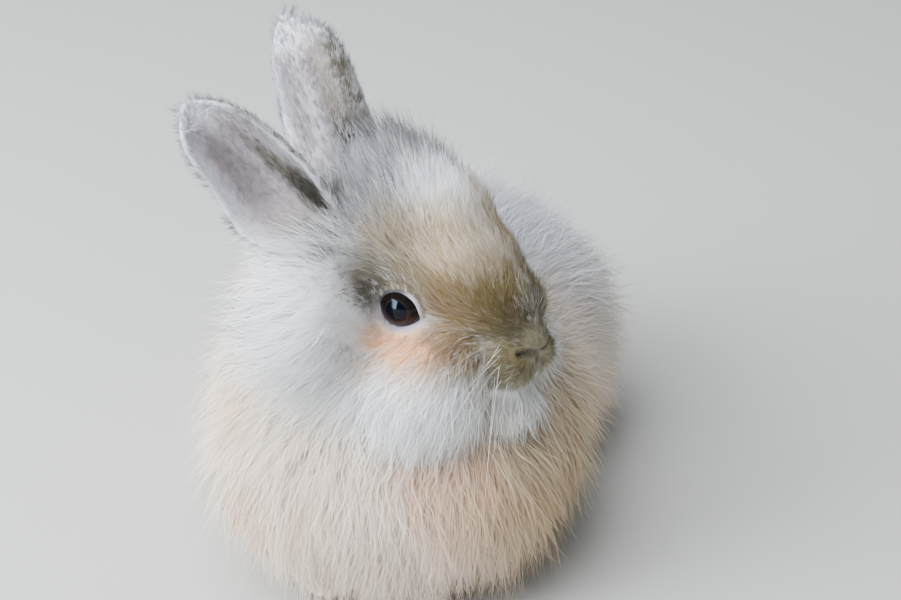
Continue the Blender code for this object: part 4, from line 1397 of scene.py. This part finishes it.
@dataclass
class Follicles:
    """Spreads the roots of all coats over the animal."""

    flesh: Flesh
    markings_and_painted_light: MarkingsAndPaintedLight
    skin: Skin
    seed: int = 11

    SPACED_AT = (3, 6, 10, 20, 29)
    SPACING = (0.68, 0.76, 1.25, 1.78, 2.05)
    SHORTEST = 2.2
    SOLE = 9
    PEAK = (13, 19)
    EAR_FOOT = (19, 27, 30)
    FRINGE = (8, -43, -4)

    def spread_even(self, density: np.ndarray, corners: np.ndarray, rng: np.random.Generator) -> tuple:
        """Points spread evenly over triangles.

        Args:
            density: How many points each triangle is owed, whole or not.
            corners: The corners of each triangle.
            rng: The source of chance.

        Returns:
            The points, and which triangle each lies on.
        """
        total = np.cumsum(density)
        marks = np.arange(0.5, total[-1], 1.0)
        picked = np.searchsorted(total, marks)
        u, v = rng.random((2, len(picked), 1))
        turned = u + v > 1
        u, v = np.where(turned, 1 - u, u), np.where(turned, 1 - v, v)
        a, b, c = corners[picked].transpose(1, 0, 2)
        return a + (b - a) * u + (c - a) * v, picked

    def density(self, middle: np.ndarray) -> np.ndarray:
        """How many roots grow on a square millimetre.

        Args:
            middle: Where it is asked, as rows of X, Y and Z.

        Returns:
            One number for each place.
        """
        length, _, _, on_head = self.flesh.hair(middle)
        spacing = np.interp(length, self.SPACED_AT, self.SPACING)
        spacing += 0.35 * ((length < SHORT) & (on_head < 0.5))
        share = np.where(middle[:, 2] < self.SOLE, 0.4, 1.0)
        by_lids = np.min([eye.clearance(middle)[0] for eye in EYES], axis=0) < 9
        share[(self.flesh.outside(middle) > 2.5) & ~by_lids] = 0
        for eye in EYES:
            share *= 1 + 1.2 * (1 - smooth(eye.clearance(middle)[0], 5, 10))
        return share / spacing**2

    def seeds(self, rng: np.random.Generator) -> tuple[np.ndarray, np.ndarray]:
        """Where hair grows on the skin of body and head, clear of the eyes.

        Args:
            rng: The source of chance.

        Returns:
            The roots' places and the ways out of the skin.
        """
        mesh = self.skin.obj.data
        mesh.calc_loop_triangles()
        index = np.empty(len(mesh.loop_triangles) * 3, np.int32)
        mesh.loop_triangles.foreach_get("vertices", index)
        corners = points_of(mesh)[index.reshape(-1, 3)]
        crosses = np.cross(corners[:, 1] - corners[:, 0], corners[:, 2] - corners[:, 0])
        owed = np.linalg.norm(crosses, axis=1) / 2 * self.density(corners.mean(axis=1))
        at, picked = self.spread_even(owed, corners, rng)
        order = rng.permutation(len(at))
        at, picked = at[order], picked[order]
        out = unit(crosses[picked])
        by_eye = np.zeros(len(at))
        keep = np.ones(len(at), bool)
        for eye in EYES:
            near, _ = eye.clearance(at)
            by_eye = np.maximum(by_eye, 1 - smooth(near, 5, 8))
            deep = np.linalg.norm(at - np.array(eye.centre()), axis=1) < eye.radius + 0.1
            keep &= (near > 1.25 - 0.5 * eye.shade(at)) & ~(deep & (near < 4))
        at, out, by_eye = at[keep], out[keep], by_eye[keep][:, None]
        return at, unit(out * by_eye + unit(self.flesh.slopes(at)) * (1 - by_eye))

    def round_eyes(self, at: np.ndarray, length: np.ndarray, lie: np.ndarray) -> tuple[np.ndarray, np.ndarray]:
        """Shortens the hair near the eyes and turns it away from them.

        Args:
            at: The roots' places.
            length: The hair's length at each.
            lie: The way that it lies.

        Returns:
            The changed lengths and ways.
        """
        for eye in EYES:
            near, away = eye.clearance(at)
            close = (1 - smooth(near, 1.0, 8.0))[:, None]
            lie = lie * (1 - close * 0.6) + away * close * 0.8
            room = 3 + 0.55 * np.maximum(near, 0)
            length = np.minimum(length * np.clip(0.5 + (near - 1.0) / 9, 0.5, 1), room)
        return length, lie

    def in_box(self, at: np.ndarray, way: np.ndarray, length: np.ndarray) -> np.ndarray:
        """Shortens the hair whose tips would leave the box of the looks.

        Args:
            at: The roots' places.
            way: The way of each hair.
            length: Its length.

        Returns:
            The changed lengths.
        """
        tip = at + way * length[:, None]
        for axis, limit in enumerate(HAIR_BOX):
            over = np.maximum(np.abs(tip[:, axis]) - limit, 0)
            length = length * (1 - over / np.maximum(np.abs(tip - at)[:, axis], over + 6))
        return length

    def on_body(self) -> tuple[Roots, np.ndarray, np.ndarray]:
        """The roots on the body and the head.

        Returns:
            The roots, how much each belongs to the head, and the length of its hair.
        """
        rng = np.random.default_rng(self.seed)
        at, out = self.seeds(rng)
        length, lift, lie, on_head = self.flesh.hair(at)
        length, lie = self.round_eyes(at, np.maximum(length, self.SHORTEST), lie)
        head = to_head(at)
        heady = smooth(on_head, 0.5, 0.9)
        crest = smooth(head[:, 2], 26, 40) * heady
        lift = lift + 16 * crest
        peak = np.exp(-(((head[:, :2] - np.array(self.PEAK)) / 8) ** 2).sum(axis=1))
        length = length * (1 + 0.12 * ripple(at, 15, 3)) * rng.uniform(0.85, 1.15, len(at)) + 13 * peak * crest
        left = np.abs(head) * (1, 0, 0) + head * (0, 1, 1)
        ear_foot = np.exp(-(((left - np.array(self.EAR_FOOT)) / 10) ** 2).sum(axis=1))
        fringe = np.exp(-(((head - np.array(self.FRINGE)) / (6, 9, 12)) ** 2).sum(axis=1))
        length += 4.5 * fringe
        lift = lift + 24 * fringe
        length *= 1 - 0.55 * ear_foot * heady
        keep = np.ones(len(at), bool)
        for line, _, width in self.skin.grooves():
            keep &= self.skin.groove_weight(at, line, width * 1.25, 0.3) < 0.5
            length *= 1 - 0.6 * self.skin.groove_weight(at, line, width * 2.0, 1.2)
        along = lie - out * (lie * out).sum(axis=1, keepdims=True)
        sway = ripple(at, 24, 8) * 0.30 + ripple(at, 9, 9) * 0.20 * smooth(length, 8, 16)
        sway = sway + rng.normal(0, 0.12, len(at))
        side = np.cross(out, unit(along))
        along = unit(unit(along) + side * sway[:, None])
        way = along * np.cos(np.radians(lift))[:, None] + out * np.sin(np.radians(lift))[:, None]
        length = self.in_box(at, way, length)
        tint = self.markings_and_painted_light.at(at, on_head, rng)
        spread = np.interp(length, (3, 10, 29), (0.55, 1.3, 2.8))
        width = np.interp(length, (3, 8, 16, 29), (0.13, 0.16, 0.20, 0.25))
        roots = Roots(at, out, along, length, lift, tint, spread, width)
        return roots.part(keep), on_head[keep], length[keep]

    def on_ear(self, ear: EarShape, spacing: float = 1.25) -> Roots:
        """The roots on both faces and the rim of an ear.

        Args:
            ear: The ear.
            spacing: The distance between neighbouring roots.

        Returns:
            The roots.
        """
        rng = np.random.default_rng(self.seed + len(ear.side))
        count = int(2 * ear.width * 92 / spacing**2)
        share = rng.uniform(0.10, 1.0, count)
        inside = rng.random(count) < ear.half_width(share) / (ear.width / 2)
        share = share[inside]
        across = rng.uniform(-1, 1, len(share))
        back = rng.random(len(share)) < 0.5
        over, along, out = ear.ways(across, share)
        face = np.where(back, 1.0, -1.0)
        at = ear.points(across, share) + out * (face * ear.thickness / 2)[:, None]
        keep = self.flesh.outside(at) > -1
        rim = np.maximum(smooth(np.abs(across), 0.72, 1.0), smooth(share, 0.88, 1.0))
        lie = along + over * (np.sign(across) * (0.15 + 0.95 * rim * np.abs(across)))[:, None]
        outward = out * face[:, None] * (1 - 0.55 * rim)[:, None]
        outward = unit(outward + over * (np.sign(across) * rim * 0.7)[:, None])
        flat = unit(lie - outward * (lie * outward).sum(axis=1, keepdims=True))
        own = np.stack([across * 23, share * 16, back * 50.0], axis=1)
        noise = ripple(own, 9, 21)
        sway = rng.normal(0, 0.14, len(at)) + 0.2 * ripple(at, 14, 4)
        flat = unit(flat + np.cross(outward, flat) * sway[:, None])
        length = 4.6 + 1.6 * rim + 5.0 * smooth(-share, -0.35, -0.1)
        length *= rng.uniform(0.8, 1.25, len(at))
        outer = np.maximum(smooth(-across * ear.fold, 0, 0.6), smooth(share, 0.8, 0.95))
        lift = 20 + 26 * rim * (0.35 + 0.65 * outer)
        jitter = rng.normal(0, 0.25, len(at))
        tint = ear.tints(across + jitter * 0.15, share + jitter * 0.04, back, noise + jitter)
        spread = np.full(len(at), 0.8)
        width = np.full(len(at), 0.15)
        return Roots(at, outward, flat, length, lift, tint, spread, width).part(keep)


@dataclass
class Eyeball:
    """One glossy eye with its iris and pupil."""

    shape: EyeShape
    pupil: float = 27.0
    iris: float = 56.0

    def build(self) -> bpy.types.Object:
        """Makes the eye in place of its solid.

        Returns:
            The finished piece.
        """
        side = SIDES[self.shape.side]
        bm = bmesh.new()
        look = head_way(IRIS_AXIS, side).to_track_quat("Z", "Y").to_matrix().to_4x4()
        place = Matrix.Translation(self.shape.centre()) @ look
        bmesh.ops.create_uvsphere(bm, u_segments=96, v_segments=72, radius=self.shape.radius, matrix=place)
        obj = from_bmesh(f"eyeball_{self.shape.side}", bm)
        own = points_of(obj.data) - np.array(self.shape.centre())
        gaze = np.array(head_way(IRIS_AXIS, side))
        off = np.degrees(np.arccos(np.clip(unit(own) @ gaze, -1, 1)))
        low = smooth(-unit(own)[:, 2], -0.1, 0.7)[:, None]
        iris = np.array(IRIS_TOP) * (1 - low) + np.array(IRIS_LOW) * low
        spokes = 1 + 0.25 * ripple(unit(own) * 40, 5, 2)[:, None]
        ring = np.exp(-(((off - self.pupil - 3) / 2.5) ** 2))[:, None] * 0.008
        edge = smooth(off, self.pupil - 3, self.pupil + 3)[:, None]
        tint = np.array(PUPIL) * (1 - edge) + (iris * spokes + ring) * edge
        rim = smooth(off, self.iris, self.iris + 9)[:, None]
        tint = tint * (1 - rim) + np.array(EYE_RIM) * rim
        put_tint(obj.data, tint)
        obj.data.shade_smooth()
        obj.data.materials.append(EYE_FINISH.build())
        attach(obj, BODY)
        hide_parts(f"eye_{self.shape.side}")
        LOG.info("eyeball_%s", self.shape.side)
        return obj


def tapered(bm: bmesh.types.BMesh, line: np.ndarray, radii: np.ndarray, sides: int) -> None:
    """Adds a closed round tube along points to a bmesh.

    Args:
        bm: The bmesh.
        line: The points of the middle.
        radii: The radius at each.
        sides: How many sides the tube has.
    """
    runs = unit(np.gradient(line, axis=0))
    rings = []
    for place, run, radius in zip(line, runs, radii):
        turn = Vector(run).to_track_quat("Z", "Y").to_matrix().to_4x4()
        matrix = Matrix.Translation(place) @ turn
        circle = bmesh.ops.create_circle(bm, segments=sides, radius=float(radius), matrix=matrix)
        rings.append(circle["verts"])
    for ring, after in zip(rings, rings[1:]):
        for i in range(sides):
            j = (i + 1) % sides
            bm.faces.new((ring[i], ring[j], after[j], after[i]))
    bm.faces.new(tuple(reversed(rings[0])))
    bm.faces.new(tuple(rings[-1]))


@dataclass
class Whiskers:
    """The long hairs on the sides of the muzzle."""

    flesh: Flesh
    seed: int = 5
    count: int = 15

    def build(self) -> bpy.types.Object:
        """Makes all whiskers as one piece.

        Returns:
            The finished piece.
        """
        rng = np.random.default_rng(self.seed)
        bm = bmesh.new()
        for side in SIDES.values():
            for _ in range(self.count):
                spot = (rng.uniform(8, 15), rng.uniform(-42, -33), rng.uniform(-23, -11))
                root = self.flesh.settle(np.array([head_point(spot, side)]), -1.0)[0]
                way = Vector((rng.uniform(0.7, 1.1), rng.uniform(-0.35, 0.35), rng.uniform(-1.0, 0.25)))
                way = np.array(head_way(tuple(way), side))
                length = rng.uniform(28, 50)
                share = np.linspace(0, 1, 9)[:, None]
                sag = np.array((0.0, 0.0, -1.0)) * share**2 * length * rng.uniform(0.05, 0.28)
                line = root + way * share * length + sag
                tapered(bm, line, np.interp(share[:, 0], (0, 1), (0.085, 0.02)), 4)
        bmesh.ops.recalc_face_normals(bm, faces=bm.faces)
        obj = from_bmesh("whiskers", bm)
        obj.data.shade_smooth()
        obj.data.materials.append(WHISKER_FINISH.build())
        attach(obj, BODY)
        LOG.info("whiskers: %d faces", len(obj.data.polygons))
        return obj


@dataclass
class Claws:
    """The claws at the tips of all toes."""

    length: float = 7.0
    radius: float = 1.3
    way: Point = (0, -0.93, -0.37)

    def build(self) -> bpy.types.Object:
        """Makes all claws as one piece.

        Returns:
            The finished piece.
        """
        bm = bmesh.new()
        share = np.linspace(0, 1, 6)
        for form in LEG_FORMS:
            if "toe" not in form.name:
                continue
            tip = SHIFT @ (Vector(form.at) - Vector((0, form.radii[1] - 1.5, 0)))
            line = np.array(tip) + np.array(self.way) * share[:, None] * (self.length - 2.0)
            line[:, 2] = np.maximum(line[:, 2] - 1.2 * share**2, 0.9)
            tapered(bm, line, self.radius * np.interp(share, (0, 0.6, 1), (0.95, 0.7, 0.15)), 10)
        bmesh.ops.recalc_face_normals(bm, faces=bm.faces)
        obj = from_bmesh("claws", bm)
        obj.data.shade_smooth()
        obj.data.materials.append(CLAW_FINISH.build())
        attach(obj, BODY)
        LOG.info("claws: %d faces", len(obj.data.polygons))
        return obj


@dataclass(frozen=True)
class Lamp:
    """One soft square light, its way given as right, up and back to the camera, its sizes in metres."""

    name: str
    way: Point
    away: float
    size: float
    watts: float
    colour: Point
    lights: bool = True
    glints: bool = False

    def hang(self, right: Vector, up: Vector, back: Vector) -> None:
        """Hangs the light so that it faces the animal.

        Args:
            right: The camera's right.
            up: The camera's up.
            back: The way from the animal to the camera.
        """
        data = bpy.data.lights.new(self.name, "AREA")
        data.shape = "SQUARE"
        data.size = self.size
        data.energy = self.watts
        data.color = self.colour
        obj = bpy.data.objects.new(self.name, data)
        direction = (right * self.way[0] + up * self.way[1] + back * self.way[2]).normalized()
        obj.location = Vector((0, 0, 0.1)) + direction * self.away
        obj.visible_diffuse = self.lights
        obj.visible_glossy = self.glints
        obj.rotation_mode = "QUATERNION"
        obj.rotation_quaternion = direction.to_track_quat("Z", "Y")
        bpy.context.scene.collection.objects.link(obj)


LAMPS = (
    Lamp("sky", (-0.3, 0.8, 0.55), 1.6, 1.6, 50.0, (0.94, 0.975, 1.0)),
    Lamp("window", (-0.82, 0.30, 0.50), 1.3, 0.9, 38.0, (0.92, 0.96, 1.0)),
    Lamp("fill", (-0.55, -0.02, 0.83), 1.4, 1.0, 13.0, (0.95, 0.97, 1.0)),
    Lamp("glint", (-0.84, -0.14, 0.52), 1.2, 1.0, 90.0, (0.62, 0.80, 1.0), lights=False, glints=True),
)


@dataclass
class Studio:
    """The camera, the floor and the lights."""

    azimuth: float = 8.0
    elevation: float = 28.0
    distance: float = 780.0
    scale: float = 0.36
    image: tuple[int, int] = (901, 600)
    eye_pixel: tuple[float, float] = (398.0, 311.0)
    sensor: float = 36.0

    def axes(self) -> tuple[Vector, Vector, Vector]:
        """The camera's axes.

        Returns:
            Its right, its up, and the way back to it from the animal.
        """
        a, e = radians(self.azimuth), radians(self.elevation)
        back = Vector((sin(a) * cos(e), -cos(a) * cos(e), sin(e)))
        right = Vector((cos(a), sin(a), 0))
        return right, back.cross(right), back

    def camera(self) -> None:
        """Sets the camera so that the right eye lands where the photo has it."""
        right, up, back = self.axes()
        cornea = head_point(EYE_AT, -1) + head_way(EYE_AXIS, -1) * EYE_RADIUS
        wide, high = self.image
        target = cornea + right * ((wide / 2 - self.eye_pixel[0]) * self.scale)
        target += up * ((self.eye_pixel[1] - high / 2) * self.scale)
        data = bpy.data.cameras.new("camera")
        data.sensor_width = self.sensor
        data.lens = self.distance / self.scale / wide * self.sensor
        data.clip_start, data.clip_end = 0.05, 20.0
        camera = bpy.data.objects.new("camera", data)
        turn = Matrix((right, up, back)).transposed().to_4x4()
        camera.matrix_world = Matrix.Translation((target + back * self.distance) * MM) @ turn
        bpy.context.scene.collection.objects.link(camera)
        bpy.context.scene.camera = camera

    def floor(self) -> None:
        """Lays the plain floor."""
        bm = bmesh.new()
        bmesh.ops.create_grid(bm, x_segments=1, y_segments=1, size=4000)
        obj = from_bmesh("floor", bm)
        obj.data.materials.append(FLOOR_FINISH.build())

    def build(self) -> None:
        """Makes camera, floor and lights."""
        self.camera()
        self.floor()
        for lamp in LAMPS:
            lamp.hang(*self.axes())
        world = bpy.data.worlds.new("studio")
        bpy.context.scene.world = world
        world.use_nodes = True
        sky = world.node_tree.nodes["Background"]
        sky.inputs["Color"].default_value = (0.88, 0.93, 1.0, 1)
        sky.inputs["Strength"].default_value = 0.33
        LOG.info("studio")


WISPY = TuftStyle(hairs=2, gather=0.0, curl=0.10, stray=0.20, lock=0.0, end_lift=0.35)
DOWNY = TuftStyle(
    hairs=3, gather=0.0, curl=0.10, stray=0.16, lock=0.0, root_shade=0.96, tip_shade=0.98
)
FINE = TuftStyle(hairs=6, gather=0.3, curl=0.03, stray=0.14, droop=0.0, lock=0.12, vary=0.10)
LONG = TuftStyle(hairs=7, gather=0.2, curl=0.07, stray=0.2, lock=0.2, vary=0.06)
SHAGGY = replace(LONG, end_lift=0.35)
UPRIGHT = TuftStyle(
    hairs=10, gather=0.4, curl=0.05, stray=0.12, droop=0.0, end_lift=0.7, lock=0.4, lock_size=16
)


@dataclass
class Pelt:
    """All coats of the animal, each a part of the roots in a style of its own."""

    follicles: Follicles
    skin_map: SkinMap
    crown_height: float = 33.0
    eye_room: float = 12.0

    def loose(self, roots: Roots) -> None:
        """Draws the stray hairs above the long coat and the soft layer under it.

        Args:
            roots: The roots of the long coat that lie well clear of the eyes.
        """
        stray = roots.part(np.arange(len(roots.at))[::4])
        stray = replace(stray, lift=stray.lift + 8, width=stray.width * 0.65, length=stray.length * 0.93)
        Coat("coat_wisps", stray, WISPY, Slot.COAT, 35).build(self.skin_map)
        under = roots.part(np.arange(len(roots.at))[::3])
        under = replace(under, length=under.length * 0.62, width=under.width * 4.5, spread=under.spread * 1.5)
        Coat("coat_under", under, DOWNY, Slot.COAT, 36).build(self.skin_map)

    def build(self) -> None:
        """Draws every coat, the loose hairs first and the ears last."""
        roots, on_head, length = self.follicles.on_body()
        short = length < SHORT
        head = on_head > 0.5
        mane = ~short & head
        crown = mane & (to_head(roots.at)[:, 2] > self.crown_height)
        clear = np.min([eye.clearance(roots.at)[0] for eye in EYES], axis=0) > self.eye_room
        self.loose(roots.part(~short & clear))
        coats = (
            ("coat_face", short & head, FINE, Slot.FACE, 31),
            ("coat_crown", crown, UPRIGHT, Slot.FACE, 37),
            ("coat_mane", mane & ~crown, SHAGGY, Slot.FACE, 32),
            ("coat_feet", short & ~head, replace(FINE, hairs=4), Slot.COAT, 33),
            ("coat_body", ~short & ~head, LONG, Slot.COAT, 34),
        )
        for name, chosen, style, slot, seed in coats:
            Coat(name, roots.part(chosen), style, slot, seed).build(self.skin_map)
        for number, ear in enumerate(EARS):
            coat = Coat(f"coat_ear_{ear.side}", self.follicles.on_ear(ear), FINE, Slot.EAR, 40 + number)
            coat.build(self.skin_map)


def main() -> None:
    """Builds the rabbit's looks piece by piece."""
    logging.basicConfig(level=logging.INFO, format="%(message)s")
    Studio().build()
    flesh = Flesh.of_rabbit()
    markings_and_painted_light = MarkingsAndPaintedLight()
    skin = Skin(flesh, markings_and_painted_light)
    skin.build()
    for shape in EYES:
        Eyeball(shape).build()
    Whiskers(flesh).build()
    Claws().build()
    Pelt(Follicles(flesh, markings_and_painted_light, skin), SkinMap(skin.obj)).build()
    # The Boolean unions leave a doubled face, which goes once the roots are spread
    skin.obj.data.validate()


if __name__ == "__main__":
    main()
